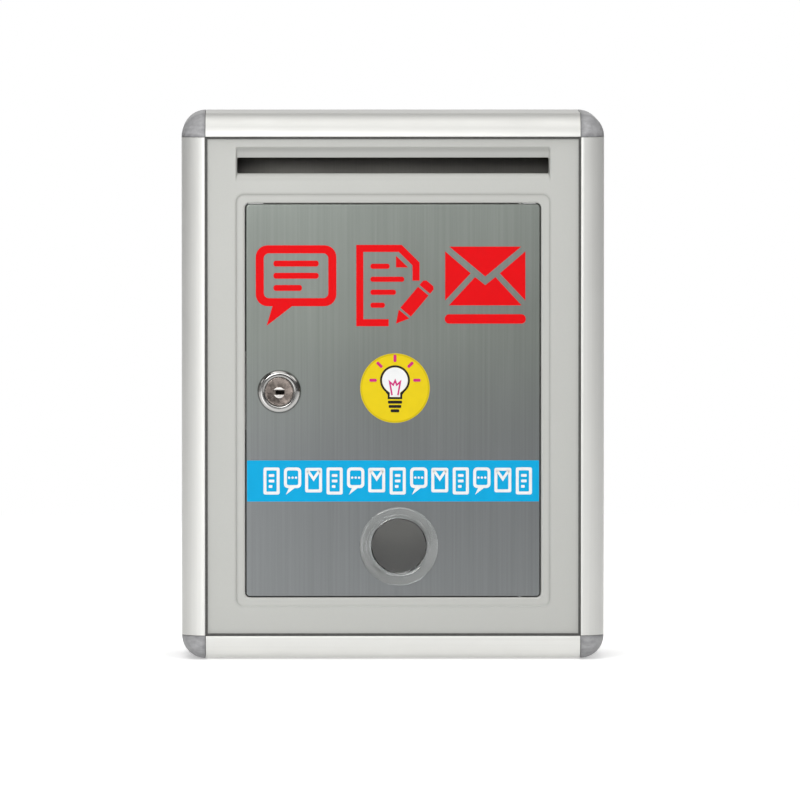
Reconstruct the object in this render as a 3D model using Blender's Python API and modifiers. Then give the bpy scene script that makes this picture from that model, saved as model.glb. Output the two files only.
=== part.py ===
"""Suggestion box: aluminium frame, pressed front panel with a letter slot, and a steel door with a cam lock.

Lengths are in metres. The front faces -Y, +Z is up, and the origin is under the middle of the base.
Depths are measured back from the foremost plane of the frame.
"""

import math

import bmesh
import bpy
from mathutils import Matrix, Vector

MM = 0.001

# Whole box
WIDTH = 215 * MM
HEIGHT = 278 * MM
DEPTH = 75 * MM

# Clearances and working values
FIT = 0.25 * MM
OVERRUN = 2 * MM
WELD = 0.002 * MM
SMOOTH_ANGLE = math.radians(35)

# Frame profile
FACE = 12 * MM
SKIN = 1.4 * MM
WALL = 1.2 * MM
LIP = 1.5 * MM
LIP_ROUND = 0.6 * MM
REAR_ROUND = 1.2 * MM
REAR_WALL = 1.6 * MM
GROOVE = 4 * MM
BACK_GROOVE = 3.5 * MM
WEB_SHARES = (0.36, 0.66)

# Seal strip and front panel
SEAL_WALL = 0.8 * MM
SEAL_SHOWN = 1.2 * MM
PANEL_SHEET = 1 * MM
PANEL_BEND = 1.2 * MM
PANEL_RETURN = 9.5 * MM
PANEL_FRONT = LIP + FIT + SEAL_WALL + FIT
GROOVE_END = PANEL_FRONT + PANEL_SHEET + FIT + SEAL_WALL + FIT

# Letter slot, placed from the box's sides and top
SLOT_MARGIN = 28.3 * MM
SLOT_DROP = 22.6 * MM
SLOT_HEIGHT = 8.2 * MM
SLOT_CORNER = 0.8 * MM
SLOT_TOP_SLOPE = 5.6 * MM
SLOT_BOTTOM_SLOPE = 4.5 * MM
SLOT_END_SLOPE = 0.8 * MM
SLOT_SLOPE_DEPTH = 2.6 * MM
SLOT_THROAT = 5.5 * MM

# Door opening and the sunk ledge round it, placed from the box's sides, top and base
OPENING_MARGIN = 32.3 * MM
OPENING_DROP = 45.8 * MM
OPENING_BOTTOM = 31.5 * MM
LEDGE = 4.5 * MM
LEDGE_SINK = 0.6 * MM
LEDGE_SLOPE = 0.8 * MM
LEDGE_CORNER = 3.6 * MM

# Door
DOOR_GAP = 0.5 * MM
DOOR_SINK = 0.8 * MM
DOOR_SHEET = 1 * MM
DOOR_BEND = 1.2 * MM
DOOR_CORNER = 1.8 * MM
DOOR_RETURN = 10.3 * MM

# Hinge
HINGE_INSET = 10 * MM
HINGE_SETBACK = 3.3 * MM
PIN_RADIUS = 1.25 * MM
PIN_CLEARANCE = 0.15 * MM
PIN_HEAD_RADIUS = 2 * MM
PIN_HEAD = 0.8 * MM
PIN_PROUD = 0.6 * MM
BUSH_RADIUS = 2 * MM
BUSH_FLANGE_RADIUS = 2.8 * MM
BUSH_FLANGE = 1 * MM

# Keeper plate on the lock side
KEEPER_SHEET = 1.2 * MM
KEEPER_HEIGHT = 40 * MM
KEEPER_LIP = 4.4 * MM
KEEPER_LEG = 8 * MM
KEEPER_BEND = 1.6 * MM
KEEPER_STOP_GAP = 0.3 * MM
RIVET_SPACING = 28 * MM
RIVET_RADIUS = 1.5 * MM
RIVET_HEAD_RADIUS = 2.7 * MM
RIVET_HEAD = 1.1 * MM

# Cam lock, placed from the door's left edge and from the base
LOCK_INSET = 16.8 * MM
LOCK_HEIGHT = 136.4 * MM
LOCK_FLANGE_RADIUS = 11.1 * MM
LOCK_FLANGE = 2.6 * MM
LOCK_BARREL_RADIUS = 9 * MM
LOCK_FLAT = 8 * MM
LOCK_SEAT_DEPTH = 1 * MM
PLUG_HEAD_RADIUS = 7.25 * MM
PLUG_SINK = 1.7 * MM
PLUG_RADIUS = 5.9 * MM
PLUG_EDGE = 0.3 * MM
PLUG_STUB = 6 * MM
KEYWAY_WIDTH = 6.4 * MM
KEYWAY_HEIGHT = 1.8 * MM
KEYWAY_DEPTH = 8 * MM
KEY_BOSS = 0.6 * MM
KEY_BOSS_MARGIN = 1.2 * MM
WASHER_RADIUS = 12 * MM
WASHER_THICKNESS = 0.8 * MM
NUT_ACROSS_FLATS = 24 * MM
NUT_THICKNESS = 4 * MM
NUT_CHAMFER = 0.6 * MM
CAM_CLEARANCE = 0.6 * MM
CAM_THICKNESS = 1.5 * MM
CAM_REACH = 17.1 * MM
CAM_HUB_RADIUS = 7.5 * MM
CAM_WIDTH = 11 * MM
CAM_TIP_ROUND = 2 * MM
CAM_WASHER_RADIUS = 4.8 * MM
CAM_WASHER_THICKNESS = 0.8 * MM
CAM_SCREW_RADIUS = 1.6 * MM
CAM_SCREW_LENGTH = 6 * MM
CAM_SCREW_HEAD_RADIUS = 3.6 * MM
CAM_SCREW_HEAD = 2.2 * MM
DRIVE_RADIUS = 1.5 * MM
DRIVE_DEPTH = 1.2 * MM

# Window in the door, placed from the door's middle and from the base
WINDOW_OFFSET = 3 * MM
WINDOW_HEIGHT = 57.6 * MM
WINDOW_TUBE_RADIUS = 14.5 * MM
WINDOW_FLANGE_RADIUS = 20 * MM
WINDOW_FLANGE = 1.3 * MM
WINDOW_CROWN = 0.4 * MM
WINDOW_WALL = 1.2 * MM
WINDOW_PANE_SINK = 1.6 * MM
WINDOW_TUBE = 4.2 * MM
WINDOW_RING_RADIUS = 18 * MM
WINDOW_RING = 1.5 * MM

# Back panel, with two keyholes over two round holes
BACK_SHEET = 1 * MM
HANG_MARGIN = 37.5 * MM
HANG_RISE = 40 * MM
HANG_DROP = 46 * MM
HANG_HOLE_RADIUS = 2.25 * MM
KEYHOLE_RADIUS = 4.5 * MM
KEYHOLE_RISE = 8 * MM

# Corner caps and the screws that hold them
PRONG_LENGTH = 18 * MM
PRONG_TAPER = 0.5 * MM
SCREW_SETBACK = 9 * MM
SCREW_RADIUS = 1.4 * MM
SCREW_HEAD_RADIUS = 2.5 * MM
SCREW_HEAD_SINK = 0.15 * MM
SCREW_LENGTH = 12 * MM
SCREW_TIP = 1.5 * MM

# Facets
CORNER_STEPS = 4
NOSE_STEPS = 10
TURN_STEPS = 40
SMALL_TURN_STEPS = 16

# Places worked out from the sizes above
OPENING_WIDTH = WIDTH - 2 * OPENING_MARGIN
OPENING_HEIGHT = HEIGHT - OPENING_DROP - OPENING_BOTTOM
WEB_DEPTHS = tuple(share * DEPTH for share in WEB_SHARES)
BACK_GROOVE_END = DEPTH - REAR_WALL
BACK_GROOVE_START = BACK_GROOVE_END - BACK_SHEET - 2 * FIT
REAR_CHAMBER_END = FACE - BACK_GROOVE - WALL
SCREW_INSET = (SKIN + REAR_CHAMBER_END) / 2
PANEL_EDGE = FACE - GROOVE + FIT + SEAL_WALL + FIT
LEDGE_FRONT = PANEL_FRONT + LEDGE_SINK
OPENING_MIDDLE = OPENING_BOTTOM + OPENING_HEIGHT / 2
PANEL_RETURN_END = LEDGE_FRONT + PANEL_RETURN
DOOR_FRONT = LEDGE_FRONT + DOOR_SINK
DOOR_BACK = DOOR_FRONT + DOOR_SHEET
DOOR_END = DOOR_FRONT + DOOR_RETURN
DOOR_HALF_WIDTH = OPENING_WIDTH / 2 - DOOR_GAP
DOOR_HALF_HEIGHT = OPENING_HEIGHT / 2 - DOOR_GAP
HINGE_X = DOOR_HALF_WIDTH - HINGE_INSET
HINGE_DEPTH = DOOR_FRONT + HINGE_SETBACK
LOCK_X = LOCK_INSET - DOOR_HALF_WIDTH
KEEPER_LIP_FRONT = DOOR_END + KEEPER_STOP_GAP
CAM_FRONT = KEEPER_LIP_FRONT + KEEPER_SHEET + CAM_CLEARANCE
CAM_BACK = CAM_FRONT + CAM_THICKNESS
CAM_HEAD_FRONT = CAM_BACK + CAM_WASHER_THICKNESS + 2 * FIT
CAM_SCREW_TIP = CAM_HEAD_FRONT - CAM_SCREW_LENGTH


def y_of(depth):
    """The Y of a depth behind the foremost plane."""
    return depth - DEPTH / 2


def clear_scene():
    for obj in list(bpy.data.objects):
        bpy.data.objects.remove(obj)
    for collection in list(bpy.data.collections):
        bpy.data.collections.remove(collection)


def new_collection(name):
    collection = bpy.data.collections.new(name)
    bpy.context.scene.collection.children.link(collection)
    return collection


def material(name, color, roughness, metallic=0.0, transmission=0.0):
    made = bpy.data.materials.new(name)
    made.use_nodes = True
    shader = made.node_tree.nodes["Principled BSDF"]
    shader.inputs["Base Color"].default_value = (*color, 1)
    shader.inputs["Roughness"].default_value = roughness
    shader.inputs["Metallic"].default_value = metallic
    shader.inputs["Transmission Weight"].default_value = transmission
    return made


clear_scene()
PARTS = new_collection("suggestion_box")
CUTTERS = new_collection("cutters")
CUTTERS.hide_render = True

ALUMINIUM = material("aluminium", (0.80, 0.80, 0.77), 0.32, 1.0)
CAP_PLASTIC = material("cap_plastic", (0.33, 0.33, 0.34), 0.45)
PANEL_PAINT = material("panel_paint", (0.57, 0.57, 0.54), 0.40, 0.3)
SEAL_RUBBER = material("seal_rubber", (0.05, 0.05, 0.05), 0.70)
BRUSHED_STEEL = material("brushed_steel", (0.30, 0.32, 0.30), 0.38, 1.0)
PLAIN_STEEL = material("plain_steel", (0.50, 0.50, 0.50), 0.35, 1.0)
CHROME = material("chrome", (0.75, 0.75, 0.75), 0.10, 1.0)
NYLON = material("nylon", (0.80, 0.79, 0.74), 0.50)
CLEAR_PLASTIC = material("clear_plastic", (0.90, 0.90, 0.90), 0.05, 0.0, 0.9)
BLACK_PLASTIC = material("black_plastic", (0.03, 0.03, 0.03), 0.45)


def arc(center, radius, start, end, steps):
    """Points from one angle to another, both ends included, in degrees."""
    points = []
    for step in range(steps + 1):
        angle = math.radians(start + (end - start) * step / steps)
        points.append((center[0] + radius * math.cos(angle), center[1] + radius * math.sin(angle)))
    return points


def rounded_rectangle(left, right, bottom, top, radius):
    """A rectangle with round corners, counter-clockwise."""
    corners = (
        (right - radius, bottom + radius, -90),
        (right - radius, top - radius, 0),
        (left + radius, top - radius, 90),
        (left + radius, bottom + radius, 180),
    )
    points = []
    for x, z, start in corners:
        points += arc((x, z), radius, start, start + 90, CORNER_STEPS)
    return points


def rectangle(left, right, bottom, top):
    return [(left, bottom), (right, bottom), (right, top), (left, top)]


def finished_mesh(obj):
    """The object's evaluated mesh, welded, shaded and facing out. The object is removed."""
    bpy.context.view_layer.update()
    graph = bpy.context.evaluated_depsgraph_get()
    mesh = bpy.data.meshes.new_from_object(obj.evaluated_get(graph))
    mesh.name = obj.name
    work = bmesh.new()
    work.from_mesh(mesh)
    bmesh.ops.remove_doubles(work, verts=work.verts, dist=WELD)
    bmesh.ops.recalc_face_normals(work, faces=work.faces)
    work.to_mesh(mesh)
    work.free()
    mesh.shade_smooth()
    mesh.set_sharp_from_angle(angle=SMOOTH_ANGLE)
    bpy.data.objects.remove(obj)
    return mesh


def mesh_of(work, name):
    mesh = bpy.data.meshes.new(name)
    work.to_mesh(mesh)
    work.free()
    return mesh


def extruded(name, outlines, length):
    """Flat outlines in X and Y, the later ones holes, given a length along Z to both sides of zero."""
    curve = bpy.data.curves.new(name, "CURVE")
    curve.dimensions = "2D"
    curve.fill_mode = "BOTH"
    curve.extrude = length / 2
    for outline in outlines:
        spline = curve.splines.new("POLY")
        spline.points.add(len(outline) - 1)
        for point, (x, y) in zip(spline.points, outline):
            point.co = (x, y, 0, 1)
        spline.use_cyclic_u = True
    obj = bpy.data.objects.new(name, curve)
    CUTTERS.objects.link(obj)
    return finished_mesh(obj)


def turned(name, outline, steps=TURN_STEPS, closed=False):
    """A solid turned about Z from (radius, depth) points that run out over the front, then down its side."""
    work = bmesh.new()
    verts = [work.verts.new((radius, 0, -depth)) for radius, depth in outline]
    for first, second in zip(verts, verts[1:]):
        work.edges.new((first, second))
    if closed:
        work.edges.new((verts[-1], verts[0]))
    obj = bpy.data.objects.new(name, mesh_of(work, name))
    CUTTERS.objects.link(obj)
    screw = obj.modifiers.new("turn", "SCREW")
    screw.steps = steps
    screw.render_steps = steps
    screw.use_merge_vertices = True
    screw.merge_threshold = WELD
    return finished_mesh(obj)


def box_mesh(name, low, high):
    """A box between two corners."""
    low = Vector(low)
    high = Vector(high)
    work = bmesh.new()
    bmesh.ops.create_cube(work, size=1)
    bmesh.ops.scale(work, vec=high - low, verts=work.verts)
    bmesh.ops.translate(work, vec=(low + high) / 2, verts=work.verts)
    return mesh_of(work, name)


def cylinder_mesh(name, radius, length, steps=SMALL_TURN_STEPS):
    """A cylinder along Z, to both sides of zero."""
    work = bmesh.new()
    bmesh.ops.create_cone(
        work, cap_ends=True, segments=steps, radius1=radius, radius2=radius, depth=length
    )
    return mesh_of(work, name)


FACING_FRONT = Matrix.Rotation(math.pi / 2, 4, "X")
FACING_BACK = Matrix.Rotation(-math.pi / 2, 4, "X")
UPRIGHT = Matrix.Identity(4)


def add(name, mesh, finish, place=(0, 0, 0), turn=UPRIGHT, axis=None):
    """A named piece at a place in the world, on an axis empty where it moves."""
    obj = bpy.data.objects.new(name, mesh)
    PARTS.objects.link(obj)
    mesh.materials.clear()
    mesh.materials.append(finish)
    obj.parent = axis
    offset = axis.location if axis else Vector()
    obj.matrix_basis = Matrix.Translation(Vector(place) - offset) @ turn
    return obj


def cutter(name, mesh, place=(0, 0, 0), turn=UPRIGHT):
    obj = bpy.data.objects.new(name, mesh)
    CUTTERS.objects.link(obj)
    obj.matrix_basis = Matrix.Translation(Vector(place)) @ turn
    obj.hide_render = True
    obj.display_type = "WIRE"
    return obj


def combine(obj, other, operation):
    boolean = obj.modifiers.new(other.name, "BOOLEAN")
    boolean.operation = operation
    boolean.object = other
    boolean.solver = "EXACT"


def cut(obj, other):
    combine(obj, other, "DIFFERENCE")


def join(obj, other):
    combine(obj, other, "UNION")


def settled(obj):
    """The piece's mesh with its cuts and joins made, in the piece's own axes."""
    bpy.context.view_layer.update()
    graph = bpy.context.evaluated_depsgraph_get()
    mesh = bpy.data.meshes.new_from_object(obj.evaluated_get(graph))
    bpy.data.objects.remove(obj)
    return mesh


# Pressed sheets


def loop_at(work, points, depth):
    return [work.verts.new((x, y_of(depth), z)) for x, z in points]


def bridge(work, first, second):
    count = len(first)
    for index in range(count):
        after = (index + 1) % count
        work.faces.new((first[index], first[after], second[after], second[index]))


def fill_between(work, loops):
    """Fills a flat face inside the first loop and outside the others."""
    edges = []
    for loop in loops:
        for first, second in zip(loop, loop[1:] + loop[:1]):
            edges.append(work.edges.get((first, second)) or work.edges.new((first, second)))
    bmesh.ops.triangle_fill(work, edges=edges, normal=(0, -1, 0), use_beauty=True)


def sheet_object(name, work, flat_vert, thickness, finish, axis=None):
    """A pressed sheet whose seen side is the surface given, with its thickness behind it."""
    bmesh.ops.recalc_face_normals(work, faces=work.faces)
    flat_vert.normal_update()
    if flat_vert.normal.y > 0:
        bmesh.ops.reverse_faces(work, faces=work.faces)
    mesh = mesh_of(work, name)
    if axis:
        mesh.transform(Matrix.Translation(-axis.location))
    obj = add(name, mesh, finish)
    if axis:
        obj.parent = axis
    solidify = obj.modifiers.new("sheet", "SOLIDIFY")
    solidify.thickness = thickness
    solidify.offset = -1
    solidify.use_even_offset = True
    return obj


def bend_offsets(radius, steps=CORNER_STEPS):
    """Steps round a quarter bend, as (sideways, back) from its start."""
    offsets = []
    for step in range(steps + 1):
        angle = math.pi / 2 * step / steps
        offsets.append((radius * math.sin(angle), radius * (1 - math.cos(angle))))
    return offsets


# Frame


def frame_outlines():
    """The profile's section and its three chambers: X inwards from the outer side, Y back from the front."""
    nose = arc((FACE, FACE), FACE, 180, 270, NOSE_STEPS)[:-1]
    lip_start = FACE - math.sqrt(FACE**2 - LIP_ROUND**2)
    lip = arc((FACE - LIP_ROUND, lip_start + LIP_ROUND), LIP_ROUND, 270, 360, 2)
    inner_side = [
        (FACE, LIP),
        (FACE - GROOVE, LIP),
        (FACE - GROOVE, GROOVE_END),
        (FACE, GROOVE_END),
        (FACE, BACK_GROOVE_START),
        (FACE - BACK_GROOVE, BACK_GROOVE_START),
        (FACE - BACK_GROOVE, BACK_GROOVE_END),
        (FACE, BACK_GROOVE_END),
        (FACE, DEPTH),
    ]
    rear = arc((REAR_ROUND, DEPTH - REAR_ROUND), REAR_ROUND, 90, 180, 2)
    nose_room = FACE - SKIN
    nose_end = 180 + math.degrees(math.acos((GROOVE + WALL) / nose_room))
    front_chamber = arc((FACE, FACE), nose_room, 180, nose_end, NOSE_STEPS // 2) + [
        (FACE - GROOVE - WALL, GROOVE_END + WALL),
        (FACE - WALL, GROOVE_END + WALL),
        (FACE - WALL, WEB_DEPTHS[0]),
        (SKIN, WEB_DEPTHS[0]),
    ]
    middle_chamber = rectangle(SKIN, FACE - WALL, WEB_DEPTHS[0] + WALL, WEB_DEPTHS[1])
    rear_chamber = [
        (SKIN, WEB_DEPTHS[1] + WALL),
        (FACE - WALL, WEB_DEPTHS[1] + WALL),
        (FACE - WALL, BACK_GROOVE_START - WALL),
        (REAR_CHAMBER_END, BACK_GROOVE_START - WALL),
        (REAR_CHAMBER_END, DEPTH - SKIN),
        (SKIN, DEPTH - SKIN),
    ]
    return [nose + lip + inner_side + rear, front_chamber, middle_chamber, rear_chamber]


def screw_outline(clearance):
    """A countersunk screw from its head down, with room added all round for the hole that takes it."""
    head_back = SCREW_HEAD_RADIUS - SCREW_RADIUS
    return [
        (0, SCREW_HEAD_SINK - clearance),
        (SCREW_HEAD_RADIUS + clearance, SCREW_HEAD_SINK - clearance),
        (SCREW_HEAD_RADIUS + clearance, SCREW_HEAD_SINK),
        (SCREW_RADIUS + clearance, SCREW_HEAD_SINK + head_back),
        (SCREW_RADIUS + clearance, SCREW_LENGTH - SCREW_TIP),
        (0, SCREW_LENGTH + clearance),
    ]


def screw_places():
    """Two screws at each end corner, one in the level profile and one in the upright one."""
    places = []
    for side in (-1, 1):
        for z in (SCREW_INSET, HEIGHT - SCREW_INSET):
            places.append((side * (WIDTH / 2 - FACE - SCREW_SETBACK), y_of(DEPTH), z))
        for z in (FACE + SCREW_SETBACK, HEIGHT - FACE - SCREW_SETBACK):
            places.append((side * (WIDTH / 2 - SCREW_INSET), y_of(DEPTH), z))
    return places


def make_frame():
    """Four lengths of one profile, each turned a quarter further round the box."""
    hole = turned("screw_hole", screw_outline(FIT), SMALL_TURN_STEPS)
    holes = []
    for index, place in enumerate(screw_places()):
        holes.append(cutter(f"frame_hole_{index + 1}", hole, place, FACING_BACK))
    sides = (
        ("frame_left", HEIGHT, 0, (-WIDTH / 2, HEIGHT / 2)),
        ("frame_top", WIDTH, 90, (0, HEIGHT)),
        ("frame_right", HEIGHT, 180, (WIDTH / 2, HEIGHT / 2)),
        ("frame_bottom", WIDTH, 270, (0, 0)),
    )
    for name, span, angle, (x, z) in sides:
        mesh = extruded(name, frame_outlines(), span - 2 * FACE - 2 * FIT)
        turn = Matrix.Rotation(math.radians(angle), 4, "Y")
        profile = add(name, mesh, ALUMINIUM, (x, y_of(0), z), turn)
        for other in holes:
            if is_near(other, angle, x, z):
                cut(profile, other)


def is_near(hole, angle, x, z):
    """Whether a screw hole lies in the profile that runs through x or z."""
    if angle % 180:
        return abs(hole.location.z - z) < FACE and abs(hole.location.x) < WIDTH / 2 - FACE
    return abs(hole.location.x - x) < FACE and FACE < hole.location.z < HEIGHT - FACE


def quarter_turned(name, outline, steps):
    """A quarter of a turned solid about Y, from (radius, depth) points, in the corner of -X and -Z."""
    work = bmesh.new()
    verts = [work.verts.new((-radius, y_of(depth), 0)) for radius, depth in outline]
    section = work.faces.new(verts)
    bmesh.ops.spin(
        work,
        geom=[section, *section.edges, *section.verts],
        cent=(0, 0, 0),
        axis=(0, 1, 0),
        angle=-math.pi / 2,
        steps=steps,
    )
    bmesh.ops.remove_doubles(work, verts=work.verts, dist=WELD)
    bmesh.ops.dissolve_degenerate(work, edges=work.edges, dist=WELD)
    bmesh.ops.recalc_face_normals(work, faces=work.faces)
    mesh = mesh_of(work, name)
    mesh.shade_smooth()
    mesh.set_sharp_from_angle(angle=SMOOTH_ANGLE)
    return mesh


def prong_mesh(name, outer, inner, front, back):
    """A prong that points along +X from inside the cap, drawn in a little towards its tip."""
    work = bmesh.new()
    bmesh.ops.create_cube(work, size=1)
    size = Vector((PRONG_LENGTH + OVERRUN, back - front, outer - inner))
    middle = Vector(((PRONG_LENGTH - OVERRUN) / 2, y_of((front + back) / 2), -(outer + inner) / 2))
    tip = [vert for vert in work.verts if vert.co.x > 0]
    bmesh.ops.scale(work, vec=size, verts=work.verts)
    for vert in tip:
        vert.co.y -= math.copysign(PRONG_TAPER, vert.co.y)
        vert.co.z -= math.copysign(PRONG_TAPER, vert.co.z)
    bmesh.ops.translate(work, vec=middle, verts=work.verts)
    return mesh_of(work, name)


def cap_mesh():
    """One corner cap about the line where the frame's inner faces meet, with two prongs each way."""
    nose = [(radius, FACE - depth) for radius, depth in arc((0, 0), FACE, 90, 0, NOSE_STEPS)]
    rear = arc((FACE - REAR_ROUND, DEPTH - REAR_ROUND), REAR_ROUND, 0, 90, 2)
    body = quarter_turned("cap_body", nose + rear + [(0, DEPTH)], NOSE_STEPS)
    cap = add("cap_draft", body, CAP_PLASTIC)
    front_prong = prong_mesh(
        "front_prong", FACE - SKIN - FIT, WALL + FIT, FACE, WEB_DEPTHS[0] - FIT
    )
    rear_prong = prong_mesh(
        "rear_prong",
        FACE - SKIN - FIT,
        FACE - REAR_CHAMBER_END + FIT,
        WEB_DEPTHS[1] + WALL + FIT,
        BACK_GROOVE_END - FIT,
    )
    hole = turned("prong_hole", screw_outline(FIT), SMALL_TURN_STEPS)
    swap = Matrix(((0, 0, 1, 0), (0, 1, 0, 0), (1, 0, 0, 0), (0, 0, 0, 1)))
    for label, mesh in (("front", front_prong), ("rear", rear_prong)):
        other_way = mesh.copy()
        other_way.transform(swap)
        other_way.flip_normals()
        join(cap, cutter(f"{label}_prong_level", mesh))
        join(cap, cutter(f"{label}_prong_upright", other_way))
    inset = SCREW_INSET - FACE
    cut(cap, cutter("level_hole", hole, (SCREW_SETBACK, y_of(DEPTH), inset), FACING_BACK))
    cut(cap, cutter("upright_hole", hole, (inset, y_of(DEPTH), SCREW_SETBACK), FACING_BACK))
    pockets = (("front", GROOVE, LIP, GROOVE_END), ("back", BACK_GROOVE, BACK_GROOVE_START, BACK_GROOVE_END))
    for label, reach, start, end in pockets:
        low = (-reach, y_of(start), -reach)
        high = (OVERRUN, y_of(end), OVERRUN)
        cut(cap, cutter(f"{label}_pocket", box_mesh("pocket", low, high)))
    return settled(cap)


def make_caps():
    mesh = cap_mesh()
    x = WIDTH / 2 - FACE
    corners = (
        ("corner_cap_bottom_left", -x, FACE, 0),
        ("corner_cap_top_left", -x, HEIGHT - FACE, 90),
        ("corner_cap_top_right", x, HEIGHT - FACE, 180),
        ("corner_cap_bottom_right", x, FACE, 270),
    )
    for name, x, z, angle in corners:
        turn = Matrix.Rotation(math.radians(angle), 4, "Y")
        add(name, mesh, CAP_PLASTIC, (x, 0, z), turn)


def make_frame_screws():
    mesh = turned("frame_screw", screw_outline(0), SMALL_TURN_STEPS)
    drive = cylinder_mesh("drive", DRIVE_RADIUS, 2 * DRIVE_DEPTH, 6)
    for index, place in enumerate(screw_places()):
        screw = add(f"frame_screw_{index + 1}", mesh, PLAIN_STEEL, place, FACING_BACK)
        cut(screw, cutter(f"screw_drive_{index + 1}", drive, place, FACING_BACK))


# Front and back


def make_seal():
    """A U-shaped strip round the front panel's edge, mitred at the corners."""
    outer = FACE - GROOVE + FIT
    shown = FACE + SEAL_SHOWN
    front = LIP + FIT
    back = GROOVE_END - FIT
    section = (
        (outer, front),
        (shown, front),
        (shown, front + SEAL_WALL),
        (outer + SEAL_WALL, front + SEAL_WALL),
        (outer + SEAL_WALL, back - SEAL_WALL),
        (shown, back - SEAL_WALL),
        (shown, back),
        (outer, back),
    )
    work = bmesh.new()
    loops = []
    for inset, depth in section:
        points = rectangle(inset - WIDTH / 2, WIDTH / 2 - inset, inset, HEIGHT - inset)
        loops.append(loop_at(work, points, depth))
    for first, second in zip(loops, loops[1:] + loops[:1]):
        bridge(work, first, second)
    bmesh.ops.recalc_face_normals(work, faces=work.faces)
    add("panel_seal", mesh_of(work, "panel_seal"), SEAL_RUBBER)


def opening_outline(offset, radius):
    """The door opening, grown by an offset."""
    half = OPENING_WIDTH / 2 + offset
    top = OPENING_BOTTOM + OPENING_HEIGHT + offset
    return rounded_rectangle(-half, half, OPENING_BOTTOM - offset, top, radius)


def slot_outline(top_share, bottom_share):
    """The slot's outline on its sloped sides, from 1 at the panel's face to 0 at the throat."""
    half = WIDTH / 2 - SLOT_MARGIN + bottom_share * SLOT_END_SLOPE
    top = HEIGHT - SLOT_DROP + top_share * SLOT_TOP_SLOPE
    bottom = HEIGHT - SLOT_DROP - SLOT_HEIGHT - bottom_share * SLOT_BOTTOM_SLOPE
    return rounded_rectangle(-half, half, bottom, top, SLOT_CORNER)


def make_front_panel():
    """One pressed sheet: a sloped slot with a throat, a sunk ledge, and an edge folded back at the door."""
    slope_shares = ((0, 1, 1), (0.25, 0.88, 0.5), (0.6, 0.7, 0.22), (1, 0, 0))
    work = bmesh.new()
    half = WIDTH / 2 - PANEL_EDGE
    edge = loop_at(work, rectangle(-half, half, PANEL_EDGE, HEIGHT - PANEL_EDGE), PANEL_FRONT)
    slot = []
    for drop, top_share, bottom_share in slope_shares:
        outline = slot_outline(top_share, bottom_share)
        slot.append(loop_at(work, outline, PANEL_FRONT + drop * SLOT_SLOPE_DEPTH))
    slot.append(loop_at(work, slot_outline(0, 0), PANEL_FRONT + SLOT_SLOPE_DEPTH + SLOT_THROAT))
    opening = [
        loop_at(work, opening_outline(LEDGE + LEDGE_SLOPE / 2, LEDGE_CORNER + LEDGE_SLOPE), PANEL_FRONT),
        loop_at(work, opening_outline(LEDGE - LEDGE_SLOPE / 2, LEDGE_CORNER), LEDGE_FRONT),
    ]
    corner = DOOR_CORNER + DOOR_GAP
    for sideways, back in bend_offsets(PANEL_BEND):
        offset = PANEL_BEND - sideways
        opening.append(loop_at(work, opening_outline(offset, corner + offset), LEDGE_FRONT + back))
    opening.append(loop_at(work, opening_outline(0, corner), PANEL_RETURN_END))
    for loops in (slot, opening):
        for first, second in zip(loops, loops[1:]):
            bridge(work, first, second)
    fill_between(work, [edge, slot[0], opening[0]])
    panel = sheet_object("front_panel", work, edge[0], PANEL_SHEET, PANEL_PAINT)
    bush_hole = cylinder_mesh("bush_hole", BUSH_RADIUS + FIT, OPENING_HEIGHT + 2 * (PANEL_SHEET + OVERRUN))
    hinge = (HINGE_X, y_of(HINGE_DEPTH), OPENING_MIDDLE)
    cut(panel, cutter("bush_holes", bush_hole, hinge))
    rivet_hole = cylinder_mesh("rivet_hole", RIVET_RADIUS + FIT, 2 * (PANEL_SHEET + OVERRUN))
    for index, place in enumerate(rivet_places()):
        level = Matrix.Rotation(math.pi / 2, 4, "Y")
        cut(panel, cutter(f"panel_rivet_hole_{index + 1}", rivet_hole, place, level))


def make_back_panel():
    """A flat sheet in the frame's rear groove, with keyholes high up and round holes low down."""
    edge = FACE - BACK_GROOVE + FIT
    outlines = [rectangle(edge - WIDTH / 2, WIDTH / 2 - edge, edge, HEIGHT - edge)]
    for side in (-1, 1):
        x = side * (WIDTH / 2 - HANG_MARGIN)
        outlines.append(circle(x, HANG_RISE, HANG_HOLE_RADIUS, SMALL_TURN_STEPS))
        outlines.append(keyhole_outline(x, HEIGHT - HANG_DROP))
    mesh = extruded("back_panel", outlines, BACK_SHEET)
    depth = BACK_GROOVE_END - FIT - BACK_SHEET / 2
    add("back_panel", mesh, ALUMINIUM, (0, y_of(depth), 0), FACING_FRONT)


def keyhole_outline(x, z):
    """A round hole for a screw's head with a narrow way up for its neck."""
    neck = math.degrees(math.acos(HANG_HOLE_RADIUS / KEYHOLE_RADIUS))
    head = arc((x, z), KEYHOLE_RADIUS, 180 - neck, 360 + neck, SMALL_TURN_STEPS)
    top = arc((x, z + KEYHOLE_RISE), HANG_HOLE_RADIUS, 0, 180, SMALL_TURN_STEPS // 2)
    return head + top


# Keeper and hinge


def rivet_places():
    """On the panel's folded edge beside the lock, at the middle of the edge's thickness."""
    x = -OPENING_WIDTH / 2 - PANEL_SHEET / 2
    depth = PANEL_RETURN_END - KEEPER_LEG / 2
    return [
        (x, y_of(depth), LOCK_HEIGHT - RIVET_SPACING / 2),
        (x, y_of(depth), LOCK_HEIGHT + RIVET_SPACING / 2),
    ]


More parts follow.
